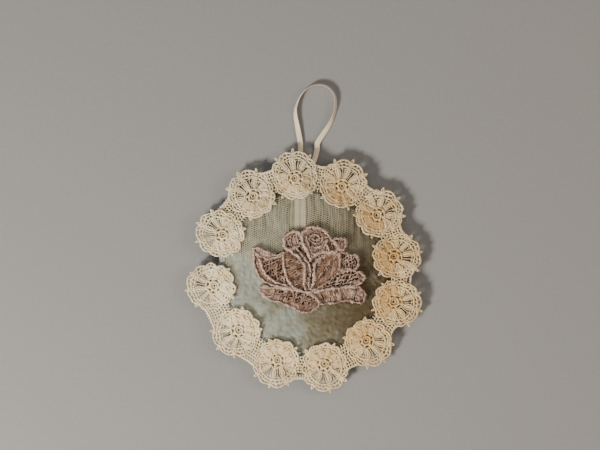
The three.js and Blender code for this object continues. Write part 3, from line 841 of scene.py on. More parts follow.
@dataclass
class TulleOverlay:
    """Hexagonal tulle, stretched over the face and gathered a little towards the top."""

    body: PillowBody
    pitch: float = 1.32
    yarn: float = 0.135

    def surface(self, x: Array, y: Array) -> Array:
        """Height of the net's middle: the face, room for the tails, and most of its gathers, pressed flat by the rose."""
        r = np.hypot(x, y)
        z = self.body.face_z(r) + self.body.tulle_lift - 0.1
        pressed = np.exp(-(((x - 3) / 36) ** 4) - ((y - 1) / 27) ** 4)
        return z + (0.7 - 0.55 * pressed) * self.body.wrinkles(x, y) * smooth(self.body.radius, self.body.radius - 4, r)

    def edges(self) -> tuple[Array, Array]:
        """Both ends of every yarn between two corners of the hexagonal holes, in plan.

        Holes stand on a lattice of pitch p, and a corner of each is p / sqrt(3) from its centre."""
        side = self.pitch / math.sqrt(3)
        reach = int(self.body.tulle_radius / (1.5 * side)) + 3
        column, row = (g.ravel() for g in np.meshgrid(np.arange(-reach, reach), np.arange(-reach, reach)))
        centre = np.stack([1.5 * side * column, self.pitch * (row + 0.5 * (column % 2))], axis=1)
        starts, ends = [], []
        for turn in (0, 60, 120):
            a, b = math.radians(turn), math.radians(turn + 60)
            starts.append(centre + side * np.array([math.cos(a), math.sin(a)]))
            ends.append(centre + side * np.array([math.cos(b), math.sin(b)]))
        return np.concatenate(starts), np.concatenate(ends)

    def gathered(self, points: Array) -> Array:
        """Moves the net's points as gathering does: sideways waves that grow towards the top, and slack."""
        x, y = points[:, 0], points[:, 1]
        pull = smooth(0, 45, y)
        x = x + pull * 0.55 * np.sin(math.tau * x / 5.2) + 0.5 * soft_noise(x, y, 22, 31)
        return np.stack([x, y + 0.5 * soft_noise(x, y, 26, 33)], axis=1)

    def build(self) -> None:
        """Makes the net and its turned edge."""
        start, end = (self.gathered(p) for p in self.edges())
        inside = np.hypot(*start.T) < self.body.tulle_radius - 0.4
        inside &= np.hypot(*end.T) < self.body.tulle_radius - 0.4
        start, end = start[inside], end[inside]
        paths = np.stack([start, end], axis=1)
        z = self.surface(paths[..., 0], paths[..., 1])
        weave = Weave()
        sweep(weave, np.concatenate([paths, z[..., None]], axis=2), self.yarn, self.yarn, 5)
        x, y = weave.points[0][:, 0], weave.points[0][:, 1]
        # The yarn is darker towards the bottom, where the net should hardly show, and towards the right, where it is
        # partly painted shade like the cloth beneath.
        low = 1 - smooth(-16, 16, y)
        weave.tones[0] = np.clip(low * (0.62 + 0.38 * smooth(-22, 24, x)) + 0.75 * smooth(14, 40, x), 0, 1)
        weave.tris = [t[:0] for t in weave.tris]
        weave.tri_uv = [t[:0] for t in weave.tri_uv]
        turn = np.arange(700) * math.tau / 700
        r = self.body.tulle_radius - 0.4
        ring = np.stack([r * np.cos(turn), r * np.sin(turn)], axis=1)
        ring = np.concatenate([ring, self.surface(ring[:, 0], ring[:, 1])[:, None]], axis=1)
        sweep(weave, ring, 0.22, 0.18, 6, True, Wind(0.06, 0.9), tone=1.0)
        piece = settle(weave.build("tulle_net", Finish.TULLE.material()), PILLOW, "tulle", "tulle_overlay")


# ---------------------------------------------------------------- embroidery


@dataclass
class Embroidery:
    """Thread embroidery without a ground: strokes of stitches that melt together, with holes elsewhere.

    Every stroke gives each grid point a depth s = half width - distance. The whole shape is where
    k ln(sum of exp(s / k)) is above zero, which rounds the corners between strokes by about `fillet` = k. Heights add
    up as (sum of h^4)^(1/4), with h = rise sqrt(1 - (distance / half width)^2)."""

    low: tuple[float, float]
    high: tuple[float, float]
    cell: float = 0.2
    fillet: float = 0.16
    edge: float = 0.3
    base: float = 0.22

    def __post_init__(self) -> None:
        """Lays out the grid."""
        self.xs = np.arange(self.low[0], self.high[0] + self.cell, self.cell)
        self.ys = np.arange(self.low[1], self.high[1] + self.cell, self.cell)
        shape = (len(self.xs), len(self.ys))
        self.total, self.heights = np.zeros(shape), np.zeros(shape)
        self.best = np.full(shape, -99.0)
        self.uv, self.tone = np.zeros((*shape, 2)), np.zeros(shape)

    def stroke(self, plan: Array, half: Array | float, rise: Array | float, tone: float = 0.0, wind: Wind = Wind()) -> None:
        """Adds one stroke of stitches.

        Args:
            plan: Its middle line, one row a point, less than a cell apart.
            half: Half of its width, as one number or one for each point.
            rise: Its height, likewise.
            tone: Its share of the second colour.
            wind: The thread wound round it, which notches its edges.
        """
        step = np.linalg.norm(np.diff(plan, axis=0), axis=1)
        length = np.concatenate([[0], np.cumsum(step)])
        ahead = np.gradient(plan, axis=0)
        ahead /= np.linalg.norm(ahead, axis=1, keepdims=True) + SMALL
        notch = np.sin(math.tau * length / wind.pitch)
        half = np.broadcast_to(half, length.shape) * (1 + wind.depth * notch)
        rise = np.broadcast_to(rise, length.shape) * (1 + 0.6 * wind.depth * notch)
        reach = float(half.max()) + 5 * self.fillet
        (i0, j0), (i1, j1) = self.window(plan, reach)
        far = np.full((i1 - i0, j1 - j0), 99.0)
        near = np.zeros(far.shape, int)
        for first in range(0, len(plan), 20):
            part = plan[first : first + 20]
            (a0, b0), (a1, b1) = self.window(part, reach)
            x, y = self.xs[a0:a1, None, None], self.ys[None, b0:b1, None]
            apart = (x - part[:, 0]) ** 2 + (y - part[:, 1]) ** 2
            k = apart.argmin(axis=2)
            d = np.sqrt(np.take_along_axis(apart, k[..., None], axis=2)[..., 0])
            place = (slice(a0 - i0, a1 - i0), slice(b0 - j0, b1 - j0))
            nearer = d < far[place]
            far[place] = np.where(nearer, d, far[place])
            near[place] = np.where(nearer, k + first, near[place])
        place = (slice(i0, i1), slice(j0, j1))
        deep = half[near] - far
        high = rise[near] * np.sqrt(np.clip(1 - (far / half[near]) ** 2, 0, 1))
        self.total[place] += np.exp(np.clip(deep / self.fillet, -30, 30))
        self.heights[place] += high**4
        score = high + 0.2 * deep
        x, y = self.xs[i0:i1, None], self.ys[None, j0:j1]
        side = ahead[near][..., 0] * (y - plan[near][..., 1]) - ahead[near][..., 1] * (x - plan[near][..., 0])
        wins = score > self.best[place]
        self.best[place] = np.where(wins, score, self.best[place])
        self.tone[place] = np.where(wins, tone, self.tone[place])
        self.uv[place] = np.where(wins[..., None], np.stack([length[near], side], axis=-1), self.uv[place])

    def window(self, plan: Array, reach: float) -> tuple[tuple[int, int], tuple[int, int]]:
        """First and last grid numbers of the box round a line, on X and Y."""
        low = ((plan.min(axis=0) - reach - self.low) / self.cell).astype(int)
        high = ((plan.max(axis=0) + reach - self.low) / self.cell).astype(int) + 2
        size = (len(self.xs), len(self.ys))
        return tuple(int(np.clip(v, 0, n)) for v, n in zip(low, size)), tuple(int(np.clip(v, 0, n)) for v, n in zip(high, size))

    def outline(self, plan: Array, closed: bool, half: float, rise: float, tone: float, wind: Wind = Wind()) -> None:
        """A stroke along a smooth curve through chosen points."""
        length = np.linalg.norm(np.diff(np.concatenate([plan, plan[:1]]) if closed else plan, axis=0), axis=1).sum()
        points = through(plan, max(6, int(length / (0.7 * self.cell))), closed)
        if closed:
            points = np.concatenate([points, points[:1]])
        uneven = half * (1 + 0.1 * soft_noise(points[:, 0], points[:, 1], 1.9, 61))
        self.stroke(points, uneven, rise, tone, wind)

    def overcast(self, plan: Array, closed: bool, reach: float, rise: float, tone: float, seed: int) -> None:
        """Short uneven stitches across an outline, so that its edge is ragged and its top is ridged.

        Args:
            plan: Chosen points of the outline.
            closed: Whether it closes.
            reach: About how far a stitch goes to each side.
            rise: About how high it stands.
            tone: Its lightest tone.
            seed: Its random numbers.
        """
        draw = np.random.default_rng(seed)
        length = np.linalg.norm(np.diff(np.concatenate([plan, plan[:1]]) if closed else plan, axis=0), axis=1).sum()
        points = through(plan, max(4, int(length / 0.85)), closed)
        ahead = np.gradient(points, axis=0)
        ahead /= np.linalg.norm(ahead, axis=1, keepdims=True)
        aside = np.stack([-ahead[:, 1], ahead[:, 0]], axis=1) + ahead * draw.uniform(-0.1, 0.8, (len(points), 1))
        for point, across in zip(points, aside):
            ends = draw.uniform(0.55, 1.35, 2) * reach
            stitch = point + across * np.linspace(-ends[0], ends[1], 12)[:, None]
            self.stroke(stitch, 0.23, rise * float(draw.uniform(0.75, 1.1)), tone - float(draw.uniform(0, 0.7)))

    def mesh(self, weave: Weave, place: Callable[[Array, Array], Array], tint: Callable[[Array], Array]) -> None:
        """Adds the shape to a piece, as an upper and a lower skin that meet along every edge.

        Grid points close to the edge are moved onto it along the depth's gradient.

        Args:
            weave: The piece.
            place: Turns plan points and heights above the embroidery's middle into points in the frame.
            tint: Tone to add at plan points.
        """
        depth = self.fillet * np.log(self.total + 1e-12)
        slope = np.stack(np.gradient(depth, self.cell), axis=-1)
        steep = np.clip((slope**2).sum(axis=-1), 0.25, None)
        plan = np.stack(np.meshgrid(self.xs, self.ys, indexing="ij"), axis=-1)
        rim = (depth > -0.72 * self.cell) & (depth < 0.3 * self.cell)
        plan = np.where(rim[..., None], plan - slope * (depth / steep)[..., None], plan)
        out = depth <= -0.72 * self.cell
        corner = ((slice(None, -1), slice(None, -1)), (slice(1, None), slice(None, -1)), (slice(1, None), slice(1, None)), (slice(None, -1), slice(1, None)))
        outs = np.stack([out[c] for c in corner])
        mean = np.mean([depth[c] for c in corner], axis=0)
        lost = outs.sum(axis=0)
        whole, cut = (lost == 0) & (mean > 0), (lost == 1) & (mean > -0.1 * self.cell)
        around = np.zeros(depth.shape, int)
        for c in corner:
            around[c] += whole | cut
        rim &= around < 4
        used = around > 0
        top = np.full(depth.shape, -1)
        top[used] = np.arange(used.sum())
        under = top.copy()
        inner = used & ~rim
        under[inner] = used.sum() + np.arange(inner.sum())
        round_ = np.sqrt(1 - (1 - np.clip(depth / self.edge, 0.0, 1)) ** 2)
        high = (self.heights**0.25 + self.base) * np.where(rim, 0, round_)
        low = -self.base * np.where(rim, 0, np.maximum(round_, 0.2))
        points = np.concatenate([place(plan[used], high[used]), place(plan[inner], low[inner])])
        tone = np.clip(self.tone[used] + tint(plan[used]), 0, 1)
        tone = np.concatenate([tone, np.clip(self.tone[inner] + tint(plan[inner]), 0, 1)])
        number = [np.stack([n[c] for c in corner], axis=-1) for n in (top, under)]
        at = np.stack([self.uv[c] for c in corner], axis=-2)
        quads = np.concatenate([number[0][whole], number[1][whole][:, ::-1]])
        quad_uv = np.concatenate([at[whole], at[whole][:, ::-1]])
        kept = np.argsort(outs.transpose(1, 2, 0)[cut], axis=1, kind="stable")[:, :3]
        kept = np.sort(kept, axis=1)
        rows = np.arange(len(kept))[:, None]
        tris = np.concatenate([number[0][cut][rows, kept], number[1][cut][rows, kept][:, ::-1]])
        tri_uv = np.concatenate([at[cut][rows, kept], at[cut][rows, kept][:, ::-1]])
        weave.add(points, quads, quad_uv, tris, tri_uv, tone)


def hatch(edge: Array, grain: float, spacing: float, wander: float, seed: int) -> list[Array]:
    """Lines across a closed curve at an angle, cut at the curve and bent a little.

    Args:
        edge: The curve, one row a point.
        grain: Angle of the lines in degrees.
        spacing: Distance between them.
        wander: How far they bend.
        seed: Seed of the bends.

    Returns:
        The lines, each one row a point, about 0.15 mm apart.
    """
    angle = math.radians(grain)
    ahead = np.array([math.cos(angle), math.sin(angle)])
    off = edge @ np.array([-ahead[1], ahead[0]])
    lines = []
    for line in np.arange(off.min() + spacing / 2, off.max(), spacing):
        gap, nxt = off - line, np.roll(off, -1) - line
        hit = np.nonzero(gap * nxt < 0)[0]
        t = (gap[hit] / (gap[hit] - nxt[hit]))[:, None]
        cut = edge[hit] * (1 - t) + np.roll(edge, -1, axis=0)[hit] * t
        cut = cut[np.argsort(cut @ ahead)]
        for a, b in zip(cut[0::2], cut[1::2]):
            length = float(np.linalg.norm(b - a))
            if length < 0.5:
                continue
            t = np.linspace(0, 1, max(4, int(length / 0.15)))[:, None]
            path = a * (1 - t) + b * t
            x, y = path[:, 0], path[:, 1]
            bend = np.stack([soft_noise(x, y, 6, seed), soft_noise(x, y, 6, seed + 1)], axis=1)
            lines.append(path + wander * bend * np.sin(math.pi * t) ** 0.5)
    return lines


# ---------------------------------------------------------------- rose


class Fill(Enum):
    """How a petal is filled."""

    SATIN = "satin"
    NET = "net"


Outline = tuple[tuple[float, float], ...]


@dataclass(frozen=True)
class Petal:
    """One petal or leaf: its edge, its fill with the fill's angle, spacing and tone, and its cord's half width and tone."""

    edge: Outline
    fill: Fill
    grain: float
    spacing: float
    shade: float = 0.0
    cord: float = 0.0
    tone: float = 0.8
    rise: float = 0.5


PETALS: dict[str, Petal] = {
    "left_petal": Petal(
        ((-16.5, 10.8), (-21, 11.6), (-27, 10.5), (-29.4, 4), (-25.8, -2.5), (-19, -6.9), (-11, -8.9), (-3, -11.2), (-9.6, -4.2), (-12.2, 3.2), (-12.8, 11)),
        Fill.NET, 28, 1.7, 0.12,
    ),
    "left_petal_edge": Petal(
        ((-31.2, 13), (-30.4, 3), (-26.2, -3.8), (-20.4, -7.4), (-12, -9.4), (-3, -11.6), (-11, -8.2), (-19.5, -4.6), (-24.6, 0.2), (-27.2, 7)),
        Fill.SATIN, 118, 0.95, 0.1, 0.5, 0.85,
    ),
    "left_petal_fold": Petal(
        ((-31.4, 14.2), (-28, 14.7), (-24.6, 13.8), (-21, 12.0), (-16.6, 10.9), (-13, 12.3), (-13.2, 10.8), (-18, 9.3), (-23.6, 8.6), (-28.4, 11)),
        Fill.SATIN, 72, 0.9, 0.45, 0.5, 0.8, 0.8,
    ),
    "inner_left_petal": Petal(
        ((-12.4, 12.4), (-7.2, 13), (-2.4, 8.8), (0.2, 5.0), (0.8, -0.4), (0.1, -6), (1.6, -11.2), (-6.4, -9.2), (-9.9, -3.8), (-12.1, 3)),
        Fill.SATIN, 22, 1.0, 0.06, 0.0, 0.9, 0.75,
    ),
    "bud": Petal(
        ((-12.4, 17), (-11.8, 21.4), (-9.4, 24), (-5.6, 25.6), (-2.6, 23.6), (-1.6, 20), (-3.4, 16.6), (-7.4, 14.8), (-11, 14.6)),
        Fill.NET, 50, 1.55, 0.3, 0.85, 0.7,
    ),
    "cleft": Petal(
        ((3.0, -10.6), (3.4, -2), (2.8, 4.6), (0.6, 8.6), (-2.2, 13.6), (-2.4, 19), (-0.6, 19), (2, 12.6), (4, 7.4), (6.4, 6), (6.2, -2), (4.6, -9.4)),
        Fill.NET, 84, 1.5, 0.0, 0.0, 0.6, 0.2,
    ),
    "bud_band": Petal(
        ((-12, 14.6), (-9.2, 15.2), (-6.2, 15.6), (-3.2, 12.8), (-0.2, 9.4), (2.6, 5.4), (3.6, 0.2), (3.2, -5.6), (3.0, -11.2), (1.4, -8), (1.2, -1), (0.4, 4.6), (-2.6, 8.6), (-7, 12.4)),
        Fill.SATIN, 125, 0.8, 0.32, 0.0, 0.8, 0.9,
    ),
    "bloom": Petal(
        ((-1.2, 23.8), (1.4, 26.4), (4.4, 28), (11.6, 26.8), (15.6, 22.2), (19.6, 18), (21, 15), (18.6, 12.8), (12, 12.8), (6.4, 10.4), (3.9, 8.6), (2.2, 13.6), (-0.6, 18.4)),
        Fill.NET, 100, 1.35, 0.15, 0.85, 0.75,
    ),
    "bloom_left_fold": Petal(
        ((-1.0, 23.4), (1.6, 23.8), (2.0, 18.4), (3.9, 14), (5.0, 9.4), (4.0, 7.6), (1.6, 13), (-0.7, 18.4)),
        Fill.SATIN, 25, 0.85, 0.35, 0.0, 0.8, 0.95,
    ),
    "bloom_lower_fold": Petal(
        ((4.6, 16.6), (7.2, 15.6), (11, 17.0), (13.2, 20.0), (13.8, 17.4), (11.6, 13.8), (8, 11.6), (5.8, 11.4), (4.9, 13.8)),
        Fill.SATIN, 65, 0.9, 0.4, 0.45, 0.75, 0.9,
    ),
    "curl": Petal(
        ((18.8, 21.0), (21.6, 20.9), (24.8, 21.2), (26.2, 18.4), (24.9, 14.6), (22.4, 13.9), (20.8, 17), (18.6, 19.2)),
        Fill.NET, 30, 1.4, 0.3, 0.7, 0.65,
    ),
    "right_petal": Petal(
        ((4.6, -9), (6.2, -4), (6.0, 1), (6.2, 5.4), (8.2, 8.2), (12.4, 11.2), (16, 12.8), (21.4, 12.2), (21.8, 7), (21.2, 1.2), (15.6, -5), (9, -9.2), (4.0, -11.6)),
        Fill.SATIN, 58, 1.08, 0.05, 0.0, 0.9, 0.7,
    ),
    "right_petal_top": Petal(
        ((6.6, 6.6), (8.2, 9.4), (12.4, 12.2), (17, 13.4), (21.4, 12.6), (21, 10.6), (15.6, 10.6), (11, 8.4), (8.6, 5.2)),
        Fill.SATIN, 112, 0.85, 0.5, 0.0, 0.8, 0.85,
    ),
    "right_patch": Petal(
        ((22.2, 11.8), (25, 12.2), (28.6, 11), (32.2, 10.8), (33.8, 7.6), (33, 4), (31.2, 1.9), (26, 2.6), (21.8, 1.2), (22.4, 6)),
        Fill.NET, 35, 1.75, 0.3, 0.6, 0.65,
    ),
    "mesh_leaf": Petal(
        ((4.6, -11.4), (10, -8.6), (16.2, -4.4), (21, -0.4), (27, 1.2), (33, 0.6), (37.4, -1.8), (36.8, -4.8), (32, -8), (24, -8.8), (14, -10)),
        Fill.NET, 12, 2.05, 0.3, 0.55, 0.75,
    ),
    "mesh_leaf_tip": Petal(
        ((32.2, -0.2), (35, 0.2), (37.8, -1.6), (37.4, -4.6), (34.4, -6.4), (31.8, -8), (31.2, -5.8), (34.0, -3.6)),
        Fill.SATIN, 130, 0.85, 0.55, 0.0, 0.8, 0.8,
    ),
    "right_leaf": Petal(
        ((4.8, -12.6), (12, -11), (22, -9.8), (29.6, -10.4), (33.2, -9), (37.4, -12), (38.2, -15), (36, -18.9), (27.2, -17.4), (18, -18.8), (10.2, -18.9), (7.4, -16.2)),
        Fill.SATIN, 106, 1.0, 0.22, 0.5, 0.55, 0.6,
    ),
    "right_leaf_pits": Petal(
        ((27, -11.4), (32, -11.6), (36.6, -14.6), (34, -16.8), (28, -15.8), (25, -13.6)),
        Fill.NET, 20, 1.6, 0.4, 0.0, 0.6,
    ),
    "lower_leaf": Petal(
        ((3.6, -12.6), (7.4, -15.6), (9.6, -18.6), (7.6, -21.4), (3.4, -24.3), (-1, -24.3), (-12.2, -19.4), (-21, -16.6), (-26.0, -13.4), (-26.6, -9.4), (-18, -9.4), (-8, -10.6)),
        Fill.NET, 18, 1.6, 0.1, 0.55, 0.7,
    ),
    "lower_leaf_edge": Petal(
        ((-26.2, -10.8), (-25.8, -13.4), (-21, -16.6), (-12.2, -19.5), (-1, -24.4), (3.4, -24.4), (8, -21.2), (8.8, -18), (3, -19.6), (-4, -18.6), (-12, -15.4), (-20, -12.8)),
        Fill.SATIN, 62, 0.92, 0.12, 0.0, 0.8, 0.65,
    ),
    "lower_leaf_tip": Petal(
        ((-27, -8.9), (-23, -8.4), (-19.4, -10), (-18.8, -12.6), (-21.6, -15), (-25.8, -12.8)),
        Fill.SATIN, 140, 0.9, 0.2, 0.4, 0.7, 0.75,
    ),
}  # fmt: skip

# Cords that part the petals: their points, half width and tone.
STEMS: tuple[tuple[Outline, float, float], ...] = (
    (((-12.8, 12.4), (-12.4, 3), (-10.1, -3.8), (-6.6, -9.0), (-1.0, -11), (3.4, -12.4)), 0.62, 0.95),
    (((-10.8, 15), (-7.2, 12.6), (-2.6, 8.6), (0.0, 4.8), (0.7, -0.4), (0.1, -6), (1.4, -10.6)), 0.66, 0.85),
    (((-5.8, 15.9), (-3.0, 13.2), (0, 9.6), (2.9, 5.6), (3.9, 0.2), (3.4, -5.6), (3.2, -10.6)), 0.5, 0.7),
    (((4.4, -10.4), (6.4, -4), (6.3, 1), (6.6, 5.0), (8.6, 8.0), (12.4, 10.9), (16, 12.6), (20, 12.8)), 0.8, 0.85),
    (((-1.2, 23), (-0.8, 18.6), (1.7, 13.4), (4.2, 7.2)), 0.72, 0.95),
    (((1.9, 22.6), (2.6, 17.6), (4.6, 13.2), (5.2, 9)), 0.4, 0.6),
    (((-4, -10.8), (4, -12.2), (12, -10.4), (22, -9.4), (31, -9)), 0.62, 0.75),
    (((4.4, -11.6), (10, -8.6), (16.4, -4.2), (21.4, 0.4), (22.0, 6), (21.9, 12)), 0.5, 0.7),
    (((-20, -7.2), (-12, -9.2), (-4, -10.8), (3.4, -12.4)), 0.6, 0.85),
    (((3.4, -12.6), (7.2, -15.8), (9.4, -18.8)), 0.5, 0.6),
    (((14.6, 20.2), (14.0, 17.4), (15.4, 13.8)), 0.45, 0.6),
)


@dataclass
class RoseApplique:
    """The guipure rose: satin and netted petals inside raised cords, over a dark sheet that paints the shade seen
    through its holes.
    """

    tulle: TulleOverlay
    clearance: float = 0.35
    coil_turns: float = 1.7

    def ground(self, x: Array, y: Array) -> Array:
        """Height of the rose's underside: the tulle's smooth dome, and a clearance."""
        body = self.tulle.body
        return body.face_z(np.hypot(x, y)) + body.tulle_lift + self.clearance

    def on(self, plan: Array, lift: Array) -> Array:
        """Plan points as points `lift` above the stitches' middle, ragged by a little noise."""
        x, y = plan[..., 0], plan[..., 1]
        ragged = np.stack([soft_noise(x, y, 1.5, 71), soft_noise(x, y, 1.5, 72)], axis=-1)
        ragged += 1.6 * np.stack([soft_noise(x, y, 4.5, 75), soft_noise(x, y, 4.5, 76)], axis=-1)
        curl = 0.35 * soft_noise(x, y, 18, 73)
        z = self.ground(x, y) + 0.5 + lift + curl * 0.5
        return np.concatenate([plan + 0.2 * ragged, z[..., None]], axis=-1)

    def shade_sheet(self, weave: Weave, petal: Petal) -> None:
        """The dark sheet under a petal, painted shade seen through its holes: rays from its middle to its edge, drawn
        in by half a millimetre.
        """
        edge = through(np.array(petal.edge, float), 80, True)
        if np.sum(np.cross(edge, np.roll(edge, -1, axis=0))) < 0:
            edge = edge[::-1]
        middle = edge.mean(axis=0)
        plan = middle + np.linspace(0.03, 0.97, 7)[:, None, None] * (edge - middle)
        x, y = plan[..., 0], plan[..., 1]
        top = np.concatenate([plan, (self.ground(x, y) + 0.14)[..., None]], axis=-1)
        bottom = np.concatenate([plan, self.ground(x, y)[..., None]], axis=-1)
        patch(weave, top, bottom, plan, True)

    def fill(self, work: Embroidery, petal: Petal, seed: int) -> None:
        """Stitches inside a petal: close satin ribs broken into stitches, or two families of net bars."""
        draw = np.random.default_rng(seed)
        edge = through(np.array(petal.edge, float), 90, True)
        if petal.fill is Fill.SATIN:
            for line in hatch(edge, petal.grain, petal.spacing, 0.35, seed):
                length = len(line)
                stops = np.cumsum(draw.integers(16, 34, 60))
                for start, end in zip([0, *stops], [*stops, length]):
                    part = line[start : min(end, length) - int(draw.integers(0, 4))]
                    if len(part) > 3:
                        tone = petal.shade + float(draw.uniform(-0.35, 0.42))
                        swell = petal.rise * float(draw.uniform(0.7, 1.15))
                        work.stroke(part, 0.49 * petal.spacing * float(draw.uniform(0.8, 1.08)), swell, tone)
            return
        for turn in (petal.grain, petal.grain + 58):
            for line in hatch(edge, turn, petal.spacing, 0.5, seed):
                thick = 0.36 + 0.13 * soft_noise(line[:, 0], line[:, 1], 1.5, seed)
                work.stroke(line, np.clip(thick, 0.22, 0.7), 0.6 * petal.rise + 0.25, petal.shade + float(draw.uniform(-0.1, 0.35)))

    def build(self) -> None:
        """Makes the rose's dark sheet of painted shade, its embroidery, and its stray thread."""
        shade_sheet = Weave()
        work = Embroidery((-34.5, -27.5), (41.0, 30.5), 0.23, 0.13)
        for seed, petal in enumerate(PETALS.values()):
            self.shade_sheet(shade_sheet, petal)
            self.fill(work, petal, 900 + 10 * seed)
        cording = Wind(0.24, 1.0)
        for petal in PETALS.values():
            if petal.cord:
                edge = np.array(petal.edge, float)
                work.outline(edge, True, 1.1 * petal.cord, 1.35, petal.tone, cording)
                work.overcast(edge, True, 1.3 * petal.cord, 1.3, petal.tone + 0.2, 40)
        for number, (points, half, tone) in enumerate(STEMS):
            work.outline(np.array(points, float), False, half, 1.6, tone, cording)
            work.overcast(np.array(points, float), False, 1.15 * half, 1.5, tone + 0.2, 50 + number)
        turn = np.linspace(0, self.coil_turns * math.tau, 40)
        reach = 0.9 + 2.7 * turn / turn[-1]
        coil = np.stack([6.8 + 1.3 * reach * np.cos(turn + 2.0), 21.2 + 0.95 * reach * np.sin(turn + 2.0)], axis=1)
        work.outline(coil, False, 0.5, 1.1, 0.55, cording)
        weave = Weave()
        work.mesh(weave, self.on, lambda plan: 0.12 * soft_noise(plan[:, 0], plan[:, 1], 5, 74))
        stray = through(np.array([(-30, 13.6), (-32.4, 13.0), (-34.4, 12.0), (-36.4, 12.6)]), 16, False)
        sweep(weave, self.on(stray, 0.5 + 0 * stray[:, 0]), 0.2, 0.2, 5, tone=1.0)
        settle(weave.build("rose_embroidery", Finish.ROSE.material()), PILLOW, "rose_embroidery", "rose_applique")
        # The dark sheet under the rose is painted shade seen through its holes.
        settle(shade_sheet.build("rose_shade_sheet", Finish.ROSE_GROUND.material()), PILLOW, "rose_embroidery")


# ---------------------------------------------------------------- lace


@dataclass
class LaceRing:
    """The guipure edging: where each medallion's rosette is, and the surface that the lace lies on."""

    tulle: TulleOverlay
    crest: tuple[float, float, float] = (15.2, 1.9, 0.5)
    inner_crest: float = 13.45
    sink: float = 2.3
    hug: float = 0.8
    clearance: float = 0.5
    lifted_angle: float = 0.14

    def __post_init__(self) -> None:
        """Reads the cone and the rosettes' places from the CAD medallions."""
        self.names = nodes_like("lace_medallion_")
        clouds = [node_points(name) for name in self.names]
        every = np.concatenate(clouds)
        r = np.hypot(every[:, 0], every[:, 1])
        fit = np.linalg.lstsq(np.stack([np.ones_like(r), r], axis=1), every[:, 2], rcond=None)[0]
        self.axis_z, self.slope = float(fit[0]), float(fit[1])
        self.bearings, self.distances = [], []
        for cloud in clouds:
            middle = (cloud.min(axis=0) + cloud.max(axis=0)) / 2
            self.bearings.append(math.atan2(middle[1], middle[0]))
            self.distances.append(float(np.hypot(cloud[:, 0], cloud[:, 1]).min()) + self.inner_crest)

    def crest_r(self, a: Array) -> Array:
        """Distance from a rosette to its crests: c0 + c1 cos a + c2 cos 2a, `a` from the outward direction."""
        return self.crest[0] + self.crest[1] * np.cos(a) + self.crest[2] * np.cos(2 * a)

    def lay_z(self, x: Array, y: Array) -> Array:
        """Height of the lace's middle: a cone, sunk by s (1 - S(r)) + h exp(-((r - rim) / 6)^2) so that it hugs the rim.

        S goes smoothly from 0 at the rim to 1 at the outer edge. Over the ribbon, near +Y, it stays up on the cone."""
        r, rim = np.hypot(x, y), self.tulle.body.radius
        over_ribbon = np.exp(-((np.arctan2(x + 0.6, y) / self.lifted_angle) ** 2))
        sunk = self.sink * (1 - smooth(rim + 4, rim + 22, r)) + self.hug * np.exp(-(((r - rim - 3) / 6) ** 2))
        return self.axis_z + self.slope * r - sunk * (1 - over_ribbon)

    def rest(self, x: Array, y: Array, z: Array) -> Array:
        """Heights raised to clear the net inside the rim."""
        r, rim = np.hypot(x, y), self.tulle.body.radius
        return np.maximum(z, self.tulle.surface(x, y) + self.clearance - 6 * smooth(rim - 2, rim + 4, r))

    def halfway(self, i: int, step: int) -> float:
        """Bearing halfway from medallion i to its neighbour, `step` of 1 or -1 on."""
        here, there = self.bearings[i], self.bearings[(i + step) % len(self.bearings)]
        return here + math.atan2(math.sin(there - here), math.cos(there - here)) / 2


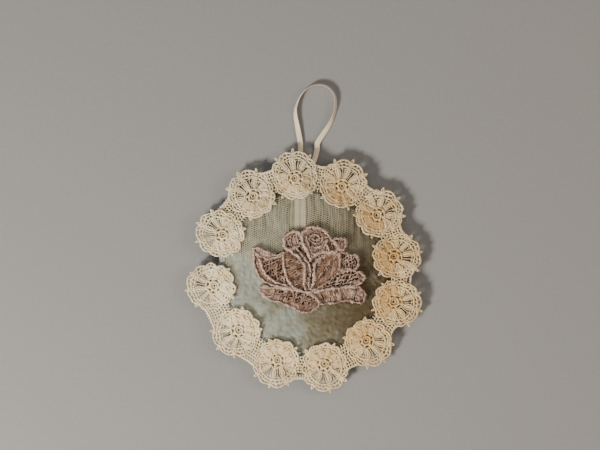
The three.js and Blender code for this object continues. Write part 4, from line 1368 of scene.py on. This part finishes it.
@dataclass
class MedallionPattern:
    """The embroidered pattern of a medallion: x outwards from the rosette, y anticlockwise."""

    ring: LaceRing
    seed: int
    cusps: tuple[float, ...] = (0, 39, 76, 108, 141, 180)
    picots: tuple[float, ...] = (0, 39, -39, 141, -141)
    cord: float = 0.56
    dip: float = 2.0
    band: float = 4.8
    petals: tuple[float, ...] = (0, 36, -36, 70, -70)
    leaves: tuple[float, ...] = (112, 146, 180, -146, -112)

    def __post_init__(self) -> None:
        """Embroiders the pattern."""
        self.draw = np.random.default_rng(self.seed)
        self.work = Embroidery((-16.5, -18.5), (20.5, 18.5), 0.2, 0.23)
        self.edges()
        self.fan()
        self.heart()
        self.rosette()

    def jitter(self, size: float) -> float:
        """A small random amount."""
        return float(self.draw.uniform(-size, size))

    def polar(self, a: Array, r: Array) -> Array:
        """Plan points at angle `a` from outwards and distance `r`."""
        return np.stack([r * np.cos(a), r * np.sin(a)], axis=-1)

    def ring_r(self, a: Array) -> Array:
        """Distance to the corded ring inside the scallops."""
        return self.ring.crest_r(a) - self.band + 0.5 * (1 - np.cos(a)) / 2

    def scallop_r(self, a: Array, share: Array) -> Array:
        """Distance to the scalloped edge's middle: the crest less dip (1 - sin(pi s)^0.7) across each scallop."""
        return self.ring.crest_r(a) - self.dip * (1 - np.sin(math.pi * share) ** 0.7) - self.cord

    def bar(self, a: float, near: float, far: float, half: Array | float, rise: float, turn: float = 0.0) -> None:
        """A bar from `near` to `far` at angle `a`, leaning by `turn` at its far end."""
        t = np.linspace(0, 1, max(5, int(abs(far - near) / 0.14)))
        width = half if np.isscalar(half) else np.interp(t, np.linspace(0, 1, len(half)), half)
        self.work.stroke(self.polar(a + turn * t, near + (far - near) * t), width, rise)

    def edges(self) -> None:
        """The scallops' edge cord, with a picot at some cusps, their rows of holes, and the corded ring inside them."""
        stops = np.unwrap(np.radians([*self.cusps, *(-c for c in self.cusps[-2:0:-1]), 0]))
        for start, end in zip(stops[:-1], stops[1:]):
            share = np.linspace(0.02, 0.98, 90)
            a = start + (end - start) * share
            self.work.stroke(self.polar(a, self.scallop_r(a, share)), self.cord, 0.6, wind=Wind(0.06, 0.8))
            self.scallop_net(start, end)
        for cusp in np.radians(self.picots):
            tip = float(self.ring.crest_r(cusp)) + 0.8
            r = np.linspace(tip - 2.6, tip, 24)
            a = cusp + 0 * r
            for side in (1, -1):
                spread = side * 0.62 * np.sin(np.linspace(0.0, 1, 24) * math.pi) / r
                self.work.stroke(self.polar(a + spread, r), 0.42, 0.5)
        a = np.linspace(0, math.tau, 560)
        self.work.stroke(self.polar(a, self.ring_r(a)), 0.5, 0.6, wind=Wind(0.06, 0.8))

    def scallop_net(self, start: float, end: float) -> None:
        """Two rows of round holes in a scallop: an arc between edge and ring, and staggered bars, heavier inwards."""
        middle_angle = abs(math.remainder((start + end) / 2, math.tau))
        heavy = 0.12 * float(smooth(1.5, 2.5, np.array(middle_angle)))
        share = np.linspace(0.04, 0.96, 70)
        a = start + (end - start) * share
        middle = (self.scallop_r(a, share) + self.ring_r(a)) / 2 + 0.12 * soft_noise(a * 9, a * 0, 3, self.seed)
        self.work.stroke(self.polar(a, middle), 0.34 + heavy, 0.4)
        count = max(3, round(abs(end - start) * 13 / 2.15))
        for row, stops in enumerate((np.arange(count + 1) / count, (np.arange(count) + 0.5) / count)):
            for s in np.clip(stops, 0.05, 0.95):
                angle = start + (end - start) * s + self.jitter(0.012)
                half = float(self.scallop_r(angle, s) + self.ring_r(angle)) / 2
                near, far = (self.ring_r(angle), half) if row == 0 else (half, self.scallop_r(angle, s))
                width = (0.36 + heavy + self.jitter(0.06)) * np.array([1.35, 0.85, 1.35])
                self.bar(angle, float(near), float(far), width, 0.3, self.jitter(0.02))

    def fan(self) -> None:
        """The outward half: five corded petals with satin middles, and ladders between them."""
        for bearing in np.radians(self.petals):
            bearing += self.jitter(0.02)
            near, far = 5.3, float(self.ring_r(bearing)) - 0.5
            half_length, middle = (far - near) / 2, (far + near) / 2
            wide = 1.5 - 0.2 * abs(bearing)
            t = np.linspace(0, math.tau, 110)
            along, off = middle + half_length * np.cos(t), wide * np.sin(t) * (1 + 0.22 * np.cos(t))
            c, s = math.cos(bearing), math.sin(bearing)
            self.work.stroke(np.stack([along * c - off * s, along * s + off * c], axis=-1), 0.38, 0.62, wind=Wind(0.07, 0.8))
            self.bar(bearing, near + 0.7, far - 0.7, 0.85 * np.sin(np.linspace(0.08, 0.92, 14) * math.pi) ** 0.5, 0.5)
        stops = sorted(np.radians(self.petals))
        for left, right in zip(stops[:-1], stops[1:]):
            middle = (left + right) / 2
            self.bar(middle + self.jitter(0.02), 5.2, float(self.ring_r(middle)), 0.24, 0.3)
            a = np.linspace(left, right, 60)
            self.work.stroke(self.polar(a, float(self.ring_r(middle)) - 1.5 + 0.15 * np.sin(40 * a)), 0.22, 0.25)
        for side in (1, -1):
            t = np.linspace(0, 1, 50)
            curl = self.polar(side * (1.36 + 0.42 * t), 5.2 + 5.4 * t + 0.9 * np.sin(math.pi * t))
            self.work.stroke(curl, 0.75 * np.sin((0.06 + 0.88 * t) * math.pi) ** 0.7 + 0.08, 0.7)
            for r in (7.6, 9.6):
                a = side * np.linspace(1.3, 2.0, 40)
                self.work.stroke(self.polar(a, r + 0 * a), 0.3, 0.3)

    def heart(self) -> None:
        """The inward half: broad satin leaves that leave only small holes between them."""
        for bearing in np.radians(self.leaves):
            bearing += self.jitter(0.03)
            far = float(self.ring_r(bearing)) - 0.2
            widths = 1.95 * np.sin(np.linspace(0.16, 0.9, 24) * math.pi) ** 0.7
            self.bar(bearing, 4.9, far, widths, 0.8)
            for side in (1, -1):
                t = np.linspace(0.1, 0.9, 40)
                off = side * 1.7 * np.sin(math.pi * t) / (4.6 + (far - 4.6) * t)
                self.work.stroke(self.polar(bearing + off, 4.6 + (far - 4.6) * t), 0.3, 0.85, wind=Wind(0.08, 0.8))
            self.bar(bearing, 5.4, far - 0.6, 0.26, 0.95)
        for a in np.radians(np.array([92, 129, 163, 197, 231, 268])):
            self.bar(a + self.jitter(0.03), 4.9, float(self.ring_r(a)), np.array([0.6, 0.35, 0.4, 0.5]), 0.4)
        a = np.linspace(1.7, math.tau - 1.7, 200)
        self.work.stroke(self.polar(a, self.ring_r(a) - 1.6), 0.26, 0.3)

    def rosette(self) -> None:
        """The raised rosette: rings round an eyelet, and seven short petals between them."""
        a = np.linspace(0, math.tau, 190)
        self.work.stroke(self.polar(a, 4.9 + 0.25 * np.cos(7 * a)), 0.5, 1.0, wind=Wind(0.07, 0.8))
        self.work.stroke(self.polar(a, 2.5 + 0.08 * np.cos(4 * a)), 0.75, 1.4, wind=Wind(0.06, 0.8))
        self.work.stroke(self.polar(a, 1.1 + 0 * a), 0.5, 0.8)
        for petal in np.arange(7) * math.tau / 7:
            self.bar(petal + self.jitter(0.05), 2.6, 5.0, 0.95 * np.sin(np.linspace(0.15, 0.9, 14) * math.pi) ** 0.6, 0.8)


@dataclass
class Medallion:
    """One medallion of the edging: the pattern, laid on the cone and pulled about as it was sewn."""

    ring: LaceRing
    pattern: MedallionPattern
    index: int

    def __post_init__(self) -> None:
        """Sets this medallion's tone, which carries painted side light, and how it is bent, from its number."""
        draw = np.random.default_rng(700 + self.index)
        bearing = self.ring.bearings[self.index]
        # The tone and the gold follow the bearing: painted side light, paler on the left and warmer and darker on the
        # right, with a little random tone.
        self.tone = float(0.16 + 0.3 * math.cos(bearing + 0.3) + draw.uniform(-0.06, 0.06))
        self.gold = 0.12 + 0.17 * (1 + math.cos(bearing - 0.6))
        self.phase = draw.uniform(0, math.tau, 3)
        self.turn = float(draw.uniform(-0.06, 0.06))
        self.droop = float(draw.uniform(0.1, 0.5))

    def place(self, plan: Array, lift: Array) -> Array:
        """Plan points as points in the frame: turned, bent, and drawn in where a neighbour begins."""
        bearing, distance = self.ring.bearings[self.index], self.ring.distances[self.index]
        out = np.array([math.cos(bearing), math.sin(bearing)])
        round_ = np.array([-out[1], out[0]])
        ease = 1 - smooth(10, 17, np.hypot(plan[..., 0], plan[..., 1]))
        c, s = np.cos(self.turn * ease), np.sin(self.turn * ease)
        x, y = plan[..., 0] * c - plan[..., 1] * s, plan[..., 0] * s + plan[..., 1] * c
        seed = 800 + 3 * self.index
        x = x + 0.28 * soft_noise(x, y, 7, seed) + 0.07 * soft_noise(x, y, 1.5, seed + 1)
        y = y + 0.28 * soft_noise(x, y, 7, seed + 2) + 0.07 * soft_noise(x, y, 1.5, seed + 3)
        for step in (1, -1):
            turn = abs(self.ring.halfway(self.index, step) - bearing)
            sign = -1 if step == 1 else 1
            room = distance * math.sin(turn)
            toward = sign * y * math.cos(turn) - x * math.sin(turn)
            t = toward / room
            eased = np.where(t > 0.84, 0.84 + 0.16 * np.tanh((t - 0.84) / 0.16), t)
            pull = (t - eased) * room
            y = y - sign * pull * math.cos(turn)
            x = x + pull * math.sin(turn)
        world = out * (distance + x)[..., None] + round_ * y[..., None]
        bend = 0.35 * np.sin(0.21 * x + self.phase[0]) + 0.3 * np.sin(0.19 * y + self.phase[1])
        bend += 0.25 * np.sin(0.3 * (x - y) + self.phase[2])
        z = self.ring.lay_z(world[..., 0], world[..., 1]) + bend * 0.8 - self.droop * smooth(6, 18, x)
        z = self.ring.rest(world[..., 0], world[..., 1], z) + lift
        return np.concatenate([world, z[..., None]], axis=-1)

    def tint(self, plan: Array) -> Array:
        """Golden in the rosette and the inward half, pale at the scallops, over the medallion's painted side light."""
        r = np.hypot(plan[:, 0], plan[:, 1])
        inward = 1 - smooth(-5, 4, plan[:, 0])
        inside = 1 - smooth(9, 13.5, r)
        return self.tone + self.gold * inside * np.maximum(inward, 0.75 * (1 - smooth(4, 6.5, r)))

    def build(self) -> None:
        """Makes the medallion."""
        weave = Weave()
        self.pattern.work.mesh(weave, self.place, self.tint)
        node = self.ring.names[self.index]
        piece = weave.build(node.replace("lace", "guipure"), Finish.LACE.material())
        settle(piece, PILLOW, "lace", node)


@dataclass
class Bridge:
    """A netted bridge between two medallions: cords across the gap and bars along it."""

    ring: LaceRing
    node: str
    reach: float = 13.0
    cell: float = 1.9

    def build(self) -> None:
        """Makes the bridge where the CAD bridge is.

        Cords cross the wedge between two crests' circles every `cell`, the outermost one thickest and bowed inwards,
        and bars join them. The plan is turned so that x points outwards along the line halfway between the medallions."""
        i = int(self.node[-2:]) - 1
        half = self.ring.halfway(i, 1)
        out = np.array([math.cos(half), math.sin(half)])
        side = np.array([-out[1], out[0]])
        plan = node_points(self.node)[:, :2] @ np.stack([out, side], axis=1)
        low, high = float(plan[:, 0].min()), float(plan[:, 0].max())
        n = (i + 1) % len(self.ring.bearings)
        levels = np.arange(high + 0.2, low - self.reach, -self.cell)
        gaps = []
        for k in (i, n):
            bearing, distance = self.ring.bearings[k], self.ring.distances[k]
            centre = np.array([math.cos(bearing), math.sin(bearing)]) * distance
            cu, cv = centre @ out, centre @ side
            a = np.arctan2(-cv + 0 * levels, levels - cu)
            reach = self.ring.crest_r(a + half - bearing) - 1.1
            gaps.append(np.abs(cv) - np.sqrt(np.clip(reach**2 - (levels - cu) ** 2, 0, None)))
        work = Embroidery((low - 15, -11), (high + 3, 11), 0.2, 0.19)
        t = np.linspace(-1, 1, 120)
        for row, level in enumerate(levels):
            left, right = gaps[0][row] + 0.6, gaps[1][row] + 0.6
            if min(left, right) < 0.3 or (level < low and left + right > 7):
                continue
            sag = 0.12 * (left + right) * (1 if row == 0 else 0.4)
            bow = sag * (1 - t**2)
            thick = 0.46 if row == 0 else 0.33
            work.stroke(np.stack([level - bow, np.where(t > 0, t * left, t * right)], axis=1), thick, 1.2 * thick)
            if row + 1 < len(levels):
                for bar in np.arange(-right + 0.8 + 0.9 * (row % 2), left - 0.2, self.cell * 0.95):
                    share = bar / (left if bar > 0 else right)
                    u = np.linspace(level - sag * (1 - share**2), level - self.cell - 0.2, 16)
                    work.stroke(np.stack([u, bar + 0.15 * np.sin(u)], axis=1), 0.36, 0.35)
        weave = Weave()

        def lay(points: Array, lift: Array) -> Array:
            """Plan points as points on the lace's cone."""
            u = points[..., 0] + 0.12 * soft_noise(points[..., 0], points[..., 1], 3, 960 + i)
            world = out * u[..., None] + side * points[..., 1:2]
            z = self.ring.rest(world[..., 0], world[..., 1], self.ring.lay_z(world[..., 0], world[..., 1]) - 0.15) + lift
            return np.concatenate([world, z[..., None]], axis=-1)

        # Painted side light: paler on the left, warmer and darker on the right.
        tone = 0.1 + 0.3 * math.cos(half + 0.3)
        work.mesh(weave, lay, lambda points: tone + 0 * points[:, 0])
        piece = weave.build(self.node.replace("lace", "guipure"), Finish.LACE.material())
        settle(piece, PILLOW, "lace", self.node)


def tacks(body: PillowBody, ring: LaceRing) -> None:
    """The stitches that hold each medallion: two crossed loops of thread from the face up round the lace.

    Args:
        body: The pillow, for the face's height.
        ring: The lace's cone.
    """
    for node in nodes_like("lace_tack_"):
        low, high = (np.array(c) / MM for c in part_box(node))
        x, y = (low[:2] + high[:2]) / 2
        weave = Weave()
        top = float(ring.lay_z(np.array(x), np.array(y))) + 0.9
        foot = float(body.face_z(np.array(math.hypot(x, y)))) - 0.2
        for turn in (0.5, 2.2):
            t = np.linspace(0, math.pi, 18)
            off = 0.85 * np.cos(t)
            z = foot + (top - foot) * np.sin(t) ** 0.7
            path = np.stack([x + off * math.cos(turn), y + off * math.sin(turn), z], axis=1)
            sweep(weave, path, 0.16, 0.16, 6, wind=Wind(0.12, 0.6))
        settle(weave.build(node.replace("lace_tack", "tacking_stitch"), Finish.THREAD.material()), PILLOW, "thread", node)


# ---------------------------------------------------------------- ribbon


@dataclass
class HangingRibbon:
    """The satin ribbon: two tails under the tulle, and a loop that stands on edge at its far end."""

    body: PillowBody
    width: float = 3.2
    thickness: float = 0.3
    exit_z: float = 1.3
    tails: tuple[float, float] = (-4.3, -0.6)
    # The loop's middle line, as in the frame: x, y from the exit line, and how far it is rolled on edge.
    loop: tuple[tuple[float, float, float], ...] = (
        (-2.2, -2.4, 0),
        (-2.2, 0.6, 0),
        (-2.3, 2.6, 0),
        (-3.1, 7.4, 0.1),
        (-4.3, 13.7, 0.3),
        (-5.3, 19.2, 0.5),
        (-5.2, 24.2, 0.7),
        (-3.9, 28.4, 0.8),
        (-2.0, 32.2, 0.86),
        (0.9, 35.7, 0.88),
        (4.7, 38.2, 0.88),
        (8.9, 38.9, 0.88),
        (13.4, 38.0, 0.88),
        (16.8, 35.5, 0.88),
        (19.1, 31.7, 0.86),
        (19.75, 27.1, 0.8),
        (19.1, 21.7, 0.7),
        (17.6, 17.1, 0.55),
        (15.1, 12.5, 0.38),
        (11.6, 7.4, 0.15),
        (8.7, 2.8, 0),
        (8.3, 0.6, 0),
        (8.25, -2.4, 0),
    )

    def __post_init__(self) -> None:
        """Reads where the ribbon leaves the lace from the hinge."""
        joint = next(j for j in frame["joints"] if j["name"] == "hanger_swing")
        self.exit_y = joint["pos_m"][1] / MM
        self.tail_start = float(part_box("hanger_tail_left")[0][1] / MM)

    def band(self, middle: Array, roll: Array, name: str, node: str) -> bpy.types.Object:
        """A ribbon along a line, turned by `roll` radians from lying flat to facing left, with rounded selvedges.

        The section is an ellipse-cornered strip: across w c|c|^-0.6 and face t s|s|^-0.4 for c, s = cos, sin.

        Args:
            middle: Its middle line, one row a station.
            roll: Turn at each station.
            name: The piece's name.
            node: The CAD node that it stands for.

        Returns:
            The piece.
        """
        ahead = np.gradient(middle, axis=0)
        ahead /= np.linalg.norm(ahead, axis=1, keepdims=True)
        left = np.cross([0.0, 0.0, 1.0], ahead)
        left /= np.linalg.norm(left, axis=1, keepdims=True)
        up = np.cross(ahead, left)
        face = up * np.cos(roll)[:, None] + left * np.sin(roll)[:, None]
        side = np.cross(ahead, face)
        sides = 20
        a = np.arange(sides) * math.tau / sides
        c, s = np.cos(a), np.sin(a)
        wide = self.width / 2 * np.sign(c) * np.abs(c) ** 0.4
        thick = self.thickness / 2 * np.sign(s) * np.abs(s) ** 0.6
        rings = middle[:, None] + side[:, None] * wide[None, :, None] + face[:, None] * thick[None, :, None]
        m = len(middle)
        i, k = np.meshgrid(np.arange(m - 1), np.arange(sides), indexing="ij")
        nxt = (k + 1) % sides
        quads = np.stack([i * sides + k, (i + 1) * sides + k, (i + 1) * sides + nxt, i * sides + nxt], axis=-1)
        length = np.concatenate([[0], np.cumsum(np.linalg.norm(np.diff(middle, axis=0), axis=1))])
        v0, v1 = wide[k], wide[nxt]
        uv = np.stack([np.stack(p, axis=-1) for p in ((length[i], v0), (length[i + 1], v0), (length[i + 1], v1), (length[i], v1))], axis=-2)
        hub = m * sides
        ring = np.arange(sides)
        near = np.stack([hub + 0 * ring, ring, (ring + 1) % sides], axis=1)
        end = (m - 1) * sides
        far = np.stack([hub + 1 + 0 * ring, end + (ring + 1) % sides, end + ring], axis=1)
        points = np.concatenate([rings.reshape(-1, 3), middle[:1], middle[-1:]])
        weave = Weave()
        tris = np.concatenate([near, far])
        weave.add(points, quads.reshape(-1, 4), uv.reshape(-1, 4, 2), tris, np.zeros((len(tris), 3, 2)))
        piece = weave.build(name, Finish.RIBBON.material())
        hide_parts(node)
        log.info("%s: %.0f mm of ribbon", name, length[-1])
        return piece

    def tail(self, name: str, node: str, tuck_x: float, exit_x: float) -> None:
        """One tail: on the face under the tulle, then straight down to the exit under the lace."""
        y = np.linspace(self.tail_start + 0.1, self.exit_y - 1.2, 90)
        x = tuck_x + (exit_x - tuck_x) * smooth(self.body.tulle_radius, self.exit_y, y)
        r = np.hypot(x, y)
        edge = self.body.tulle_radius
        on_face = self.body.face_z(np.minimum(r, edge)) + 0.5
        down = on_face + (self.exit_z - on_face) * np.clip((r - edge) / (self.exit_y - edge), 0, 1)
        z = down + 0.7 * self.body.wrinkles(x, y) * smooth(edge + 3, edge - 3, r)
        settle(self.band(np.stack([x, y, z], axis=1), 0 * y, name, node), PILLOW, "satin_ribbon")

    def build(self) -> None:
        """Makes the loop, its two tails and the bar tack across them."""
        chosen = np.array(self.loop, float)
        curve = through(chosen, 150, False)
        roll = curve[:, 2] * math.pi / 2
        z = np.maximum(self.exit_z, self.width / 2 * np.sin(roll) + 0.35)
        middle = np.stack([curve[:, 0], curve[:, 1] + self.exit_y, z], axis=1)
        piece = self.band(middle, roll, "ribbon_loop", "hanger_ribbon")
        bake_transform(piece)
        self.tail("ribbon_tail_left", "hanger_tail_left", self.tails[0], self.loop[0][0])
        self.tail("ribbon_tail_right", "hanger_tail_right", self.tails[1], self.loop[-1][0])
        self.bar_tack()

    def bar_tack(self) -> None:
        """The bar tack: close stitches across both tails."""
        low, high = (np.array(c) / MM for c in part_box("hanger_bar_tack"))
        weave = Weave()
        t = np.linspace(0, 1, 16)
        rows = np.linspace(low[1], high[1], 5)
        for row in rows:
            x = low[0] + (high[0] - low[0]) * t
            z = low[2] - 0.35 + 0.5 * np.sin(math.pi * t) ** 0.4
            path = np.stack([x, row + 0.1 * np.sin(9 * t), z], axis=1)
            sweep(weave, path, 0.14, 0.14, 6, wind=Wind(0.1, 0.6))
        settle(weave.build("ribbon_bar_tack", Finish.THREAD.material()), PILLOW, "thread", "hanger_bar_tack")


# ---------------------------------------------------------------- stage


@dataclass
class Studio:
    """A pale floor, soft lights and a camera straight above the pillow."""

    view_width: float = 375.0
    lens: float = 85.0
    aim: tuple[float, float] = (-2.5, 29.4)
    level: float = 6.0

    def camera(self) -> None:
        """A camera whose picture is `view_width` across at the lace's height, with +Y up."""
        data = bpy.data.cameras.new("camera")
        data.lens = self.lens
        data.sensor_width = 36.0
        data.clip_start = 0.01
        placed = bpy.data.objects.new("camera", data)
        height = self.view_width * self.lens / data.sensor_width + self.level
        placed.location = (self.aim[0] * MM, self.aim[1] * MM, height * MM)
        bpy.context.collection.objects.link(placed)
        bpy.context.scene.camera = placed

    def lamp(self, name: str, place: Colour, size: float, power: float, colour: Colour) -> None:
        """An area light of `size` metres at `place`, turned to the pillow."""
        data = bpy.data.lights.new(name, "AREA")
        data.shape = "DISK"
        data.size = size
        data.energy = power
        data.color = colour
        placed = bpy.data.objects.new(name, data)
        placed.location = place
        placed.rotation_euler = (-Vector(place)).to_track_quat("-Z", "Y").to_euler()
        bpy.context.collection.objects.link(placed)

    def floor(self) -> None:
        """The plain floor, with a fine matte grain."""
        mesh = bpy.data.meshes.new("floor")
        s = 3.0
        mesh.from_pydata([(-s, -s, 0), (s, -s, 0), (s, s, 0), (-s, s, 0)], [], [(0, 1, 2, 3)])
        r = Recipe("floor_paper")
        colour = r.mix(r.ramp(r.noise(2.0), 0.3, 0.7), (0.205, 0.20, 0.192), (0.222, 0.216, 0.207))
        mesh.materials.append(r.finish(colour, r.ramp(r.noise(5.0), 0.3, 0.7, 0.8, 0.9), r.bump(r.noise(0.6), 0.02), 0.0, (1, 1, 1)))
        placed = bpy.data.objects.new("floor", mesh)
        placed.location.z = -0.0002
        bpy.context.collection.objects.link(placed)

    def build(self) -> None:
        """Sets the camera, the floor, the lights and a dim surround."""
        self.camera()
        self.floor()
        self.lamp("key", (-0.66, -0.6, 0.62), 0.24, 25.0, (1.0, 0.96, 0.90))
        self.lamp("warm_side", (0.8, 0.1, 0.6), 0.5, 4.0, (1.0, 0.80, 0.58))
        self.lamp("top_fill", (-0.1, 0.5, 1.1), 0.9, 3.0, (0.93, 0.96, 1.0))
        world = bpy.data.worlds.new("studio")
        world.use_nodes = True
        world.node_tree.nodes["Background"].inputs["Color"].default_value = (0.9, 0.92, 0.95, 1)
        world.node_tree.nodes["Background"].inputs["Strength"].default_value = 0.22
        bpy.context.scene.world = world


def main() -> None:
    """Builds the stage and every piece."""
    logging.basicConfig(level=logging.INFO, format="%(message)s")
    Studio().build()
    body = PillowBody()
    HangingRibbon(body).build()
    body.build()
    tulle = TulleOverlay(body)
    tulle.build()
    RoseApplique(tulle).build()
    ring = LaceRing(tulle)
    patterns = [MedallionPattern(ring, seed) for seed in (31, 32, 33)]
    for index in range(len(ring.names)):
        Medallion(ring, patterns[index % 3], index).build()
    for node in nodes_like("lace_bridge_"):
        Bridge(ring, node).build()
    tacks(body, ring)


if __name__ == "__main__":
    main()
